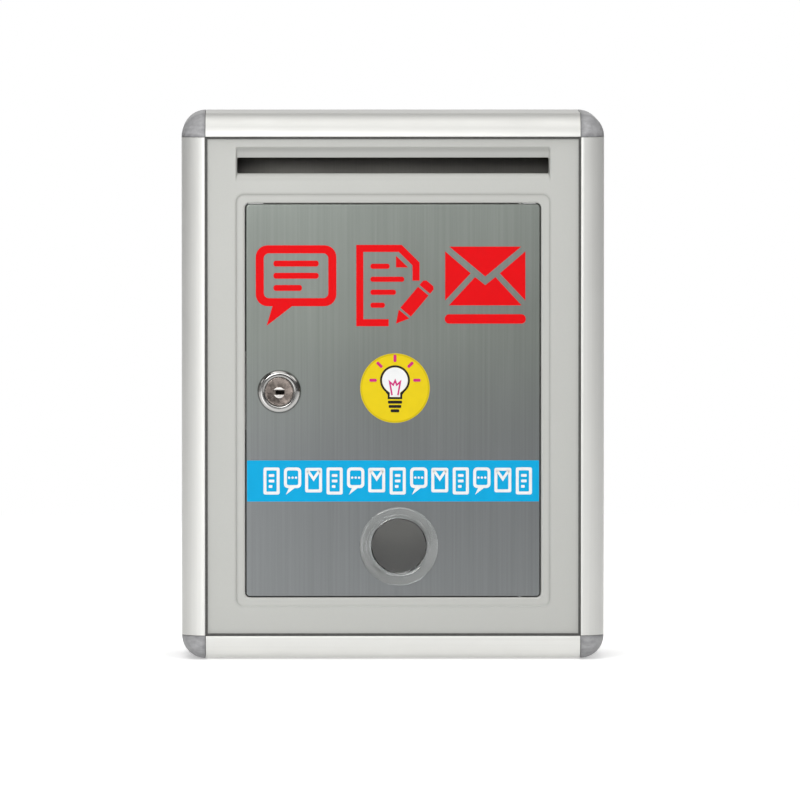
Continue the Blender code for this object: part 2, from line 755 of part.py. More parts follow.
def make_keeper():
    """An angle plate behind the lock side: the door shuts against its lip, and the cam turns in behind it."""
    leg_near = OPENING_WIDTH / 2 + PANEL_SHEET + FIT
    leg_far = leg_near + KEEPER_SHEET
    lip_end = OPENING_WIDTH / 2 - KEEPER_LIP
    front = PANEL_RETURN_END - KEEPER_LEG
    lip_back = KEEPER_LIP_FRONT + KEEPER_SHEET
    outline = [
        (-leg_far, y_of(front)),
        (-leg_near, y_of(front)),
        (-leg_near, y_of(KEEPER_LIP_FRONT)),
        (-lip_end, y_of(KEEPER_LIP_FRONT)),
        (-lip_end, y_of(lip_back)),
    ]
    bend = arc((KEEPER_BEND - leg_far, y_of(lip_back) - KEEPER_BEND), KEEPER_BEND, 90, 180, CORNER_STEPS)
    mesh = extruded("lock_keeper", [outline + bend], KEEPER_HEIGHT)
    keeper = add("lock_keeper", mesh, PLAIN_STEEL, (0, 0, LOCK_HEIGHT))
    hole = cylinder_mesh("keeper_hole", RIVET_RADIUS + FIT, 2 * (PANEL_SHEET + KEEPER_SHEET + OVERRUN))
    level = Matrix.Rotation(math.pi / 2, 4, "Y")
    for index, place in enumerate(rivet_places()):
        cut(keeper, cutter(f"keeper_hole_{index + 1}", hole, place, level))


def make_rivets():
    """Flush on the door side, so that the door passes, and domed inside the box."""
    flush = PANEL_SHEET / 2
    seat = PANEL_SHEET / 2 + FIT + KEEPER_SHEET + FIT
    outline = [(0, -flush), (RIVET_RADIUS, -flush), (RIVET_RADIUS, seat), (RIVET_HEAD_RADIUS, seat)]
    outline += [(RIVET_HEAD_RADIUS, seat + RIVET_HEAD / 2)]
    outline += [(RIVET_HEAD_RADIUS / 2, seat + RIVET_HEAD), (0, seat + RIVET_HEAD)]
    mesh = turned("keeper_rivet", outline, SMALL_TURN_STEPS)
    towards_door = Matrix.Rotation(math.pi / 2, 4, "Y")
    for index, place in enumerate(rivet_places()):
        add(f"keeper_rivet_{index + 1}", mesh, PLAIN_STEEL, place, towards_door)


def make_hinge(door_axis):
    """Headed pins through the door's folded edges, each in a flanged bush in the panel's folded edge."""
    bore = PIN_RADIUS + PIN_CLEARANCE
    bush = turned(
        "hinge_bush",
        [
            (bore, -PANEL_SHEET - FIT - BUSH_FLANGE),
            (BUSH_FLANGE_RADIUS, -PANEL_SHEET - FIT - BUSH_FLANGE),
            (BUSH_FLANGE_RADIUS, -PANEL_SHEET - FIT),
            (BUSH_RADIUS, -PANEL_SHEET - FIT),
            (BUSH_RADIUS, 0),
            (bore, 0),
        ],
        closed=True,
        steps=SMALL_TURN_STEPS * 2,
    )
    pin_top = PANEL_SHEET + FIT + BUSH_FLANGE + PIN_PROUD
    head = DOOR_GAP + DOOR_SHEET + FIT
    pin = turned(
        "hinge_pin",
        [
            (0, -pin_top),
            (PIN_RADIUS, -pin_top),
            (PIN_RADIUS, head),
            (PIN_HEAD_RADIUS, head),
            (PIN_HEAD_RADIUS, head + PIN_HEAD),
            (0, head + PIN_HEAD),
        ],
        steps=SMALL_TURN_STEPS * 2,
    )
    over = Matrix.Rotation(math.pi, 4, "X")
    ends = (
        ("top", OPENING_BOTTOM + OPENING_HEIGHT, UPRIGHT),
        ("bottom", OPENING_BOTTOM, over),
    )
    for label, z, turn in ends:
        place = (HINGE_X, y_of(HINGE_DEPTH), z)
        add(f"hinge_bush_{label}", bush, NYLON, place, turn)
        add(f"hinge_pin_{label}", pin, PLAIN_STEEL, place, turn, door_axis)


# Door


def circle(x, z, radius, steps=TURN_STEPS):
    return arc((x, z), radius, 0, 360 - 360 / steps, steps - 1)


def flatted_circle(x, z, radius, flat):
    """A circle with its top and bottom cut level."""
    edge = math.degrees(math.asin(flat / radius))
    right = arc((x, z), radius, -edge, edge, CORNER_STEPS * 2)
    left = arc((x, z), radius, 180 - edge, 180 + edge, CORNER_STEPS * 2)
    return right + left


def door_outline(inset, radius):
    half = DOOR_HALF_WIDTH - inset
    low = OPENING_MIDDLE - DOOR_HALF_HEIGHT + inset
    high = OPENING_MIDDLE + DOOR_HALF_HEIGHT - inset
    return rounded_rectangle(-half, half, low, high, radius)


def make_door(door_axis):
    """A sheet tray, open to the back, with holes for the lock and the window."""
    work = bmesh.new()
    rim = []
    for sideways, back in bend_offsets(DOOR_BEND):
        inset = DOOR_BEND - sideways
        rim.append(loop_at(work, door_outline(inset, DOOR_CORNER - inset), DOOR_FRONT + back))
    rim.append(loop_at(work, door_outline(0, DOOR_CORNER), DOOR_END))
    for first, second in zip(rim, rim[1:]):
        bridge(work, first, second)
    lock_hole = flatted_circle(LOCK_X, LOCK_HEIGHT, LOCK_BARREL_RADIUS + FIT, LOCK_FLAT + FIT)
    window_hole = circle(WINDOW_OFFSET, WINDOW_HEIGHT, WINDOW_TUBE_RADIUS + FIT)
    fill_between(
        work,
        [
            rim[0],
            loop_at(work, lock_hole, DOOR_FRONT),
            loop_at(work, window_hole, DOOR_FRONT),
        ],
    )
    door = sheet_object("door_panel", work, rim[0][0], DOOR_SHEET, BRUSHED_STEEL, door_axis)
    hole = cylinder_mesh("pin_hole", PIN_RADIUS + FIT, HEIGHT)
    cut(door, cutter("pin_holes", hole, (HINGE_X, y_of(HINGE_DEPTH), OPENING_MIDDLE)))


def make_window(door_axis):
    """A clear flanged cup pushed through the door, and the ring that grips it from behind."""
    tube = WINDOW_TUBE_RADIUS
    bore = tube - WINDOW_WALL
    flange_back = DOOR_FRONT - FIT
    flange_front = flange_back - WINDOW_FLANGE
    pane_front = DOOR_FRONT + WINDOW_PANE_SINK
    pane_back = pane_front + WINDOW_WALL
    tube_end = DOOR_FRONT + WINDOW_TUBE
    lens = turned(
        "window_lens",
        [
            (0, pane_front),
            (bore - WINDOW_WALL / 2, pane_front),
            (bore, pane_front - WINDOW_WALL / 2),
            (bore + WINDOW_CROWN, flange_front),
            (tube + WINDOW_CROWN, flange_front - WINDOW_CROWN),
            (tube + WINDOW_WALL, flange_front),
            (WINDOW_FLANGE_RADIUS - WINDOW_CROWN, flange_front + WINDOW_CROWN / 2),
            (WINDOW_FLANGE_RADIUS, flange_front + 2 * WINDOW_CROWN),
            (WINDOW_FLANGE_RADIUS, flange_back),
            (tube, flange_back),
            (tube, tube_end),
            (bore, tube_end),
            (bore, pane_back),
            (0, pane_back),
        ],
    )
    place = (WINDOW_OFFSET, y_of(0), WINDOW_HEIGHT)
    add("window_lens", lens, CLEAR_PLASTIC, place, FACING_FRONT, door_axis)
    ring_front = DOOR_BACK + FIT
    ring = turned(
        "window_ring",
        [
            (tube + FIT, ring_front),
            (WINDOW_RING_RADIUS, ring_front),
            (WINDOW_RING_RADIUS, ring_front + WINDOW_RING / 2),
            (WINDOW_RING_RADIUS - WINDOW_WALL, ring_front + WINDOW_RING),
            (tube + FIT, ring_front + WINDOW_RING),
        ],
        closed=True,
    )
    add("window_ring", ring, BLACK_PLASTIC, place, FACING_FRONT, door_axis)


# Lock


def make_lock_body(door_axis, place):
    """A domed flange on a threaded barrel with two flats, bored for the plug."""
    back = DOOR_FRONT - FIT
    front = back - LOCK_FLANGE
    recess = PLUG_HEAD_RADIUS + FIT
    bore = PLUG_RADIUS + FIT
    head_back = front + PLUG_SINK + LOCK_SEAT_DEPTH + FIT
    barrel_end = CAM_FRONT - FIT
    rim = LOCK_FLANGE_RADIUS - recess
    dome_shares = ((0.03, 0.16), (0.14, 0.03), (0.34, 0), (0.58, 0.1), (0.8, 0.33), (0.94, 0.64), (1, 1))
    outline = [(recess, front + PLUG_SINK)]
    for across, drop in dome_shares:
        outline.append((recess + across * rim, front + drop * LOCK_FLANGE))
    outline += [
        (LOCK_BARREL_RADIUS, back),
        (LOCK_BARREL_RADIUS, barrel_end),
        (bore, barrel_end),
        (bore, head_back),
        (recess, head_back),
    ]
    body = add("lock_body", turned("lock_body", outline, closed=True), CHROME, place, FACING_FRONT, door_axis)
    reach = LOCK_BARREL_RADIUS + OVERRUN
    for label, low, high in (("upper", LOCK_FLAT, reach), ("lower", -reach, -LOCK_FLAT)):
        flat = box_mesh("barrel_flat", (-reach, back, low), (reach, barrel_end + OVERRUN, high))
        cut(body, cutter(f"barrel_flat_{label}", flat, place))


def make_washer_and_nut(door_axis, place):
    front = DOOR_BACK + FIT
    hole = LOCK_BARREL_RADIUS + FIT
    washer = turned(
        "lock_washer",
        [
            (hole, front),
            (WASHER_RADIUS, front),
            (WASHER_RADIUS, front + WASHER_THICKNESS),
            (hole, front + WASHER_THICKNESS),
        ],
        closed=True,
    )
    add("lock_washer", washer, PLAIN_STEEL, place, FACING_FRONT, door_axis)
    nut_front = front + WASHER_THICKNESS + FIT
    nut_back = nut_front + NUT_THICKNESS
    corner = NUT_ACROSS_FLATS / 2 / math.cos(math.pi / 6)
    outline = [arc((0, 0), corner, 0, 300, 5), circle(0, 0, hole)]
    nut = add("lock_nut", extruded("lock_nut", outline, NUT_THICKNESS), PLAIN_STEEL)
    nut.parent = door_axis
    middle = Vector(place) + Vector((0, (nut_front + nut_back) / 2, 0))
    nut.matrix_basis = Matrix.Translation(middle - door_axis.location) @ FACING_FRONT
    chamfer = turned(
        "nut_chamfer",
        [
            (0, nut_front - FIT),
            (corner, nut_front - FIT),
            (corner, nut_back - NUT_CHAMFER),
            (corner - 2 * NUT_CHAMFER, nut_back + FIT),
            (0, nut_back + FIT),
        ],
    )
    combine(nut, cutter("nut_chamfer", chamfer, place, FACING_FRONT), "INTERSECT")


def make_plug(lock_axis, place):
    """The plug that the key turns, with its level keyway, and a square stub for the cam."""
    head_front = DOOR_FRONT - FIT - LOCK_FLANGE + PLUG_SINK
    head_back = head_front + LOCK_SEAT_DEPTH
    shoulder = CAM_FRONT - FIT
    stub_end = CAM_BACK
    plug_mesh = turned(
        "lock_plug",
        [
            (0, head_front),
            (PLUG_HEAD_RADIUS - PLUG_EDGE, head_front),
            (PLUG_HEAD_RADIUS, head_front + PLUG_EDGE),
            (PLUG_HEAD_RADIUS, head_back),
            (PLUG_RADIUS, head_back),
            (PLUG_RADIUS, shoulder),
            (0, shoulder),
        ],
    )
    plug = add("lock_plug", plug_mesh, CHROME, place, FACING_FRONT, lock_axis)
    boss_x = KEYWAY_WIDTH / 2 + KEY_BOSS_MARGIN
    boss_z = KEYWAY_HEIGHT / 2 + KEY_BOSS_MARGIN
    boss = box_mesh(
        "key_boss", (-boss_x, head_front - KEY_BOSS, -boss_z), (boss_x, head_front + PLUG_EDGE, boss_z)
    )
    join(plug, cutter("key_boss", boss, place))
    half = PLUG_STUB / 2
    stub = box_mesh("cam_stub", (-half, shoulder - OVERRUN, -half), (half, stub_end, half))
    join(plug, cutter("cam_stub", stub, place))
    keyway = box_mesh(
        "keyway",
        (-KEYWAY_WIDTH / 2, head_front - KEY_BOSS - OVERRUN, -KEYWAY_HEIGHT / 2),
        (KEYWAY_WIDTH / 2, head_front + KEYWAY_DEPTH, KEYWAY_HEIGHT / 2),
    )
    cut(plug, cutter("keyway", keyway, place))
    screw_hole = cylinder_mesh("cam_screw_hole", CAM_SCREW_RADIUS + FIT, 2 * CAM_SCREW_LENGTH)
    hole_place = Vector(place) + Vector((0, CAM_SCREW_TIP - FIT + CAM_SCREW_LENGTH, 0))
    cut(plug, cutter("cam_screw_hole", screw_hole, hole_place, FACING_FRONT))


def make_cam(lock_axis, place):
    """A steel tongue that hangs down when unlocked, with its washer and screw."""
    half = CAM_WIDTH / 2
    foot = math.degrees(math.acos(half / CAM_HUB_RADIUS))
    hub = arc((0, 0), CAM_HUB_RADIUS, -foot, 180 + foot, TURN_STEPS // 2)
    left_tip = arc((CAM_TIP_ROUND - half, CAM_TIP_ROUND - CAM_REACH), CAM_TIP_ROUND, 180, 270, CORNER_STEPS)
    right_tip = arc((half - CAM_TIP_ROUND, CAM_TIP_ROUND - CAM_REACH), CAM_TIP_ROUND, 270, 360, CORNER_STEPS)
    square = PLUG_STUB / 2 + FIT
    hole = rectangle(-square, square, -square, square)
    mesh = extruded("lock_cam", [hub + left_tip + right_tip, hole], CAM_THICKNESS)
    middle = Vector(place) + Vector((0, (CAM_FRONT + CAM_BACK) / 2, 0))
    add("lock_cam", mesh, PLAIN_STEEL, middle, FACING_FRONT, lock_axis)
    washer_front = CAM_BACK + FIT
    washer = turned(
        "cam_washer",
        [
            (CAM_SCREW_RADIUS + FIT, washer_front),
            (CAM_WASHER_RADIUS, washer_front),
            (CAM_WASHER_RADIUS, washer_front + CAM_WASHER_THICKNESS),
            (CAM_SCREW_RADIUS + FIT, washer_front + CAM_WASHER_THICKNESS),
        ],
        steps=SMALL_TURN_STEPS * 2,
        closed=True,
    )
    add("cam_washer", washer, PLAIN_STEEL, place, FACING_FRONT, lock_axis)
    head_back = CAM_HEAD_FRONT + CAM_SCREW_HEAD
    screw = turned(
        "cam_screw",
        [
            (0, CAM_SCREW_TIP),
            (CAM_SCREW_RADIUS, CAM_SCREW_TIP),
            (CAM_SCREW_RADIUS, CAM_HEAD_FRONT),
            (CAM_SCREW_HEAD_RADIUS, CAM_HEAD_FRONT),
            (CAM_SCREW_HEAD_RADIUS, CAM_HEAD_FRONT + CAM_SCREW_HEAD / 2),
            (CAM_SCREW_HEAD_RADIUS / 2, head_back),
            (0, head_back),
        ],
        steps=SMALL_TURN_STEPS * 2,
    )
    piece = add("cam_screw", screw, PLAIN_STEEL, place, FACING_FRONT, lock_axis)
    drive = cylinder_mesh("cam_drive", DRIVE_RADIUS, 2 * DRIVE_DEPTH, 6)
    drive_place = Vector(place) + Vector((0, head_back, 0))
    cut(piece, cutter("cam_drive", drive, drive_place, FACING_FRONT))


def axis_empty(name, place):
    empty = bpy.data.objects.new(name, None)
    PARTS.objects.link(empty)
    empty.location = place
    return empty


def make_lock(door_axis, lock_axis):
    place = (LOCK_X, y_of(0), LOCK_HEIGHT)
    make_lock_body(door_axis, place)
    make_washer_and_nut(door_axis, place)
    make_plug(lock_axis, place)
    make_cam(lock_axis, place)


def main():
    door_axis = axis_empty("door_axis", (HINGE_X, y_of(HINGE_DEPTH), OPENING_MIDDLE))
    lock_axis = axis_empty("lock_axis", (LOCK_X, y_of(DOOR_FRONT), LOCK_HEIGHT))
    make_frame()
    make_caps()
    make_frame_screws()
    make_seal()
    make_front_panel()
    make_back_panel()
    make_keeper()
    make_rivets()
    make_hinge(door_axis)
    make_door(door_axis)
    make_window(door_axis)
    make_lock(door_axis, lock_axis)


main()
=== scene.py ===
"""Suggestion box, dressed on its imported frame.

Lengths are in metres. The front faces -Y, +Z is up, and the origin is under the middle of the base.
"""

import math

import bmesh
import bpy
from mathutils import Matrix, Vector


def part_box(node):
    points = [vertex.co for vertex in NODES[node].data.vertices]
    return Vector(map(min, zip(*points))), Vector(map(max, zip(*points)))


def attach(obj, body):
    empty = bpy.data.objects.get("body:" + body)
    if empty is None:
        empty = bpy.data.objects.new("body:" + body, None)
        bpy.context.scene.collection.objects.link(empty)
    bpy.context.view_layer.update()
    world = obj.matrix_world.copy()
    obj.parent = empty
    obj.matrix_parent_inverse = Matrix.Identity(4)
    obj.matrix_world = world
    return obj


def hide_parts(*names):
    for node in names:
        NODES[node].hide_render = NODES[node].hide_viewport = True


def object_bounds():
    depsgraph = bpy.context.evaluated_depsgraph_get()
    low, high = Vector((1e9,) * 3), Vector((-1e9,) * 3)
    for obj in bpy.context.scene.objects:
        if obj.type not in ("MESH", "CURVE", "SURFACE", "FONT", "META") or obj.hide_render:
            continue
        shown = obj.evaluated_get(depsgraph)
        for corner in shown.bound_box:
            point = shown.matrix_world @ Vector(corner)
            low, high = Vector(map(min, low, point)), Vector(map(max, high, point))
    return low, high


MM = 0.001
WELD = 0.002 * MM
SMOOTH_ANGLE = math.radians(35)
FLAT_ANGLE = math.radians(1)

# Camera: far off and almost level, as in the photograph, with the view's width at the box
CAMERA_DISTANCE = 6.0
CAMERA_ELEVATION = math.radians(2.9)
CAMERA_TURN = math.radians(0.5)
CAMERA_REACH = 50
CAMERA_TARGET = Vector((3.52 * MM, -37.5 * MM, 132.25 * MM))
VIEW_WIDTH = 406.64 * MM
SENSOR_WIDTH = 36.0

# Colours, as linear red, green and blue
ALUMINIUM = (0.68, 0.68, 0.66)
# The back sheet, a dull grey darkened as painted shade for the box's inside
SHADED_MILL_ALUMINIUM = (0.20, 0.195, 0.18)
CAP_GREY = (0.36, 0.36, 0.37)
PANEL_SILVER = (0.49, 0.495, 0.472)
RUBBER_BLACK = (0.055, 0.055, 0.052)
# The door steel at its top, lightened as a painted reflection, and at its foot, darker and bluer
DOOR_STEEL_PAINTED_LIT_TOP = (0.233, 0.2545, 0.234)
DOOR_STEEL_PAINTED_DIM_FOOT = (0.188, 0.198, 0.201)
ZINC = (0.62, 0.62, 0.60)
CHROME = (0.36, 0.355, 0.345)
LIP_NICKEL = (0.62, 0.595, 0.575)
PLUG_GREY = (0.235, 0.20, 0.18)
NYLON_WHITE = (0.72, 0.71, 0.66)
PLASTIC_BLACK = (0.03, 0.03, 0.03)
CLEAR = (0.93, 0.94, 0.93)
FLOOR_WHITE = (0.86, 0.86, 0.86)
INK_COLORS = {
    "red": (0.76, 0.001, 0.004),
    "blue": (0.003, 0.39, 0.72),
    "yellow": (0.79, 0.60, 0.010),
    "amber": (0.632, 0.48, 0.008),
    "white": (0.86, 0.87, 0.87),
    "black": (0.015, 0.014, 0.013),
    "pink": (0.62, 0.03, 0.20),
}

# Floor: its lift to white, halved next to the box as painted shade round its foot, and the distances
# from the box over which this painted shade ends and over which the floor fades into the backdrop. A
# way across counts less than one to the front or back.
FLOOR_HALF = 3
FLOOR_DROP = 0.5 * MM
FLOOR_LIFT = 0.82
FLOOR_PAINTED_SHADE = (0.04, 0.12)
FLOOR_FADE = (0.15, 1.2)
FLOOR_FOOTPRINT = (0.35, 1, 0)

# World: the angles at which the white backdrop is full and gone, and the studio's soft patches of
# light, each a direction from the box, the angles at which it is full and gone, and its strength
BACKDROP_ANGLES = (8, 22)
STUDIO_TINT = (1, 0.995, 0.985, 1)
STUDIO_LEVEL = 0.09
STUDIO = (
    ((-0.77, -0.64, 0), 8, 28, 0.68),
    ((0.71, -0.71, 0), 8, 28, 0.07),
    ((0.32, -0.89, 0.32), 6, 13, 0.72),
    ((0.52, -0.62, 0.58), 8, 18, 1.15),
    ((0.72, -0.31, 0.62), 6, 16, 2.4),
    ((0, -0.64, 0.77), 8, 28, 1.00),
    ((0, -0.42, 0.91), 8, 28, 0.48),
    ((0, -0.14, 0.99), 8, 28, 1.10),
    ((0, 0.26, 0.97), 8, 28, 0.68),
    ((0, 0.71, 0.71), 8, 28, 0.14),
    ((0, 0.99, 0.12), 12, 42, 1.00),
    ((-0.27, -0.31, 0.91), 5, 12, 2.6),
    ((-0.82, -0.31, 0.475), 4, 9, 2.6),
)

# Lamps: the point that they face, and each one's place, side and power
LAMP_TARGET = Vector((0, -30 * MM, 139 * MM))
LAMPS = (
    ("key", (-0.20, -0.80, 0.41), 0.25, 1.72),
    ("low_key", (-0.22, -0.80, 0.25), 0.25, 0.10),
    ("high_key", (0.05, -0.75, 0.43), 0.25, 0.70),
    ("foot", (-0.19, -0.50, 0.02), 0.2, 0.22),
)

# Printed film on the door
FILM = 0.05 * MM
FILM_GAP = 0.02 * MM

# Panel: half the slot's length; painted shade in the fold above the slot and a painted highlight on
# its lower lip, each a share of the paint's tone between two heights, over a soft edge; and the
# pressed ledge round the door, along whose step painted shade lies
SLOT_HALF = 79.4 * MM
SLOT_PAINTED_LIGHT = (
    (258.3 * MM, 260.5 * MM, 1.2 * MM, 0.76),
    (255 * MM, 258.3 * MM, 1.2 * MM, 0.88),
    (245 * MM, 247.4 * MM, 0.8 * MM, 1.08),
)
LEDGE = 5 * MM
LEDGE_CORNER = 3.6 * MM

# Corner caps: the width of the face that shows beside the frame
CAP_FACE = 12 * MM

# Keyway: its half sizes, corner, place on the plug's face and depth, and the depth past which
# painted shade turns it black
KEYWAY_HALF = (2.3 * MM, 1.05 * MM)
KEYWAY_CORNER = 0.35 * MM
KEYWAY_SHIFT = 0.5 * MM
KEYWAY_RISE = -0.3 * MM
KEYWAY_DEPTH = 8 * MM
KEYWAY_SHADE = 0.9 * MM

# Sockets of a Mix node that mixes colours
MIX_FACTOR, MIX_FIRST, MIX_SECOND, MIX_RESULT = 0, 6, 7, 2

FACING_FRONT = Matrix.Rotation(math.pi / 2, 4, "X")
FACING_BACK = Matrix.Rotation(-math.pi / 2, 4, "X")

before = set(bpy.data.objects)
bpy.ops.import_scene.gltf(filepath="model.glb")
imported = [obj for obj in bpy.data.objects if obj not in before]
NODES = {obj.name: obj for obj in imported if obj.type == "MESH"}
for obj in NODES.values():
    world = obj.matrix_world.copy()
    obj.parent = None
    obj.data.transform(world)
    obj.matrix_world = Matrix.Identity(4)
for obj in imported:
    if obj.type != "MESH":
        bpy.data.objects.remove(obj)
CAD_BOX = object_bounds()


def middle_of(node):
    """The X and Z of a node's middle, and the Y of its front and back."""
    low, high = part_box(node)
    return (low[0] + high[0]) / 2, (low[2] + high[2]) / 2, low[1], high[1]


# Materials


def new_material(name):
    """A material with its node tree and its shader."""
    made = bpy.data.materials.new(name)
    made.use_nodes = True
    tree = made.node_tree
    return made, tree, tree.nodes["Principled BSDF"]


def add_node(tree, kind, **settings):
    node = tree.nodes.new(kind)
    for key, value in settings.items():
        setattr(node, key, value)
    return node


def object_point(tree):
    """The point in the piece's own axes."""
    return add_node(tree, "ShaderNodeTexCoord").outputs["Object"]


def object_place(tree):
    """The point's X, Y and Z in the piece's own axes."""
    parts = add_node(tree, "ShaderNodeSeparateXYZ")
    tree.links.new(object_point(tree), parts.inputs["Vector"])
    return parts.outputs["X"], parts.outputs["Y"], parts.outputs["Z"]


def noise(tree, size, stretch=(1, 1, 1), detail=2.0, roughness=0.5):
    """Noise with a grain of a size in metres, drawn out along the piece's own axes by stretch."""
    mapping = add_node(tree, "ShaderNodeMapping")
    mapping.inputs["Scale"].default_value = [1 / (size * share) for share in stretch]
    texture = add_node(tree, "ShaderNodeTexNoise")
    texture.inputs["Scale"].default_value = 1
    texture.inputs["Detail"].default_value = detail
    texture.inputs["Roughness"].default_value = roughness
    tree.links.new(object_point(tree), mapping.inputs["Vector"])
    tree.links.new(mapping.outputs["Vector"], texture.inputs["Vector"])
    return texture.outputs["Fac"]


def spread(tree, fac, low, high, start=0.3, end=0.7):
    """A socket's values from start to end, by default a noise's, mapped to those from low to high."""
    node = add_node(tree, "ShaderNodeMapRange")
    node.inputs["From Min"].default_value = start
    node.inputs["From Max"].default_value = end
    node.inputs["To Min"].default_value = low
    node.inputs["To Max"].default_value = high
    tree.links.new(fac, node.inputs["Value"])
    return node.outputs["Result"]


def calculated(tree, operation, *values):
    """One sum on sockets or numbers."""
    node = add_node(tree, "ShaderNodeMath", operation=operation)
    for socket, value in zip(node.inputs, values):
        if isinstance(value, (int, float)):
            socket.default_value = value
        else:
            tree.links.new(value, socket)
    return node.outputs["Value"]


def within(tree, value, low, high, soft):
    """1 between two values, fading to 0 over a soft edge centred on each."""
    above = spread(tree, value, 0, 1, low - soft / 2, low + soft / 2)
    below = spread(tree, value, 1, 0, high - soft / 2, high + soft / 2)
    return calculated(tree, "MINIMUM", above, below)


def vector_sums(tree, vector, *sums):
    """A vector after a row of sums, each an operation and the vector that it takes, if any."""
    for operation, value in sums:
        node = add_node(tree, "ShaderNodeVectorMath", operation=operation)
        tree.links.new(vector, node.inputs[0])
        if value:
            node.inputs[1].default_value = value
        vector = node.outputs["Vector"]
    return vector


def length_of(tree, vector):
    node = add_node(tree, "ShaderNodeVectorMath", operation="LENGTH")
    tree.links.new(vector, node.inputs[0])
    return node.outputs["Value"]


def off_outline(tree, middle, half, corner):
    """How far outside a rounded rectangle on the front a point lies, less than zero inside."""
    past_corner = vector_sums(
        tree,
        object_point(tree),
        ("SUBTRACT", (middle[0], 0, middle[1])),
        ("MULTIPLY", (1, 0, 1)),
        ("ABSOLUTE", None),
        ("SUBTRACT", (half[0] - corner, 0, half[1] - corner)),
        ("MAXIMUM", (0, 0, 0)),
    )
    return calculated(tree, "SUBTRACT", length_of(tree, past_corner), corner)


def shaded(color, share):
    return tuple(channel * share for channel in color)


def blended(tree, fac, first, second):
    """A colour between two, as a socket goes from 0 to 1."""
    node = add_node(tree, "ShaderNodeMix", data_type="RGBA")
    tree.links.new(fac, node.inputs[MIX_FACTOR])
    node.inputs[MIX_FIRST].default_value = (*first, 1)
    node.inputs[MIX_SECOND].default_value = (*second, 1)
    return node.outputs[MIX_RESULT]


def varied(tree, fac, color, low, high=1):
    """A colour that a noise varies between two shares of itself."""
    return blended(tree, spread(tree, fac, 0, 1), shaded(color, low), shaded(color, high))


def toned(tree, color, *shares):
    """A colour made paler or darker by shares, each a socket near 1."""
    for share in shares:
        node = add_node(tree, "ShaderNodeVectorMath", operation="SCALE")
        tree.links.new(color, node.inputs[0])
        tree.links.new(share, node.inputs["Scale"])
        color = node.outputs["Vector"]
    return color


def surfaced(tree, shader, color, roughness, metallic=0.0):
    """Gives the shader its colour and roughness, both from sockets, and its share of metal."""
    tree.links.new(color, shader.inputs["Base Color"])
    tree.links.new(roughness, shader.inputs["Roughness"])
    shader.inputs["Metallic"].default_value = metallic


def bumped(tree, shader, height, depth, below=None):
    """Adds relief of a depth in metres, over what lies below it, and returns its normal."""
    node = add_node(tree, "ShaderNodeBump")
    node.inputs["Strength"].default_value = 1
    node.inputs["Distance"].default_value = depth
    tree.links.new(height, node.inputs["Height"])
    if below:
        tree.links.new(below, node.inputs["Normal"])
    tree.links.new(node.outputs["Normal"], shader.inputs["Normal"])
    return node.outputs["Normal"]


def drawn_aluminium(name, along):
    """Satin anodised aluminium with die lines along its length."""
    made, tree, shader = new_material(name)
    long_way = tuple(160 if axis == along else 1 for axis in "XYZ")
    lines = noise(tree, 0.7 * MM, long_way, 3)
    bloom = noise(tree, 30 * MM, detail=3)
    color = varied(tree, lines, ALUMINIUM, 0.97)
    surfaced(tree, shader, color, spread(tree, bloom, 0.48, 0.54), metallic=0.85)
    grain = bumped(tree, shader, noise(tree, 0.12 * MM, detail=2), 0.004 * MM)
    bumped(tree, shader, lines, 0.010 * MM, grain)
    return made


def cap_plastic():
    """Moulded grey plastic, mottled where it has been handled, with painted shade along its seams."""
    made, tree, shader = new_material("cap_plastic_moulded")
    mottle = noise(tree, 3 * MM, (1.3, 1, 0.8), detail=5, roughness=0.62)
    x, _, z = object_place(tree)
    low, high = CAD_BOX
    across = calculated(tree, "ABSOLUTE", x)
    along = calculated(tree, "ABSOLUTE", calculated(tree, "SUBTRACT", z, (low[2] + high[2]) / 2))
    from_sides = calculated(tree, "SUBTRACT", across, high[0] - CAP_FACE)
    from_ends = calculated(tree, "SUBTRACT", along, (high[2] - low[2]) / 2 - CAP_FACE)
    from_seam = calculated(tree, "MINIMUM", from_sides, from_ends)
    # Painted shade, darkest at the seams with the frame and gone 2 mm from them
    painted_seam_shade = spread(tree, from_seam, 0.72, 1, 0.3 * MM, 2 * MM)
    color = toned(tree, varied(tree, mottle, CAP_GREY, 0.8, 1.24), painted_seam_shade)
    surfaced(tree, shader, color, spread(tree, mottle, 0.42, 0.56))
    bumped(tree, shader, noise(tree, 0.35 * MM, detail=3), 0.02 * MM)
    return made


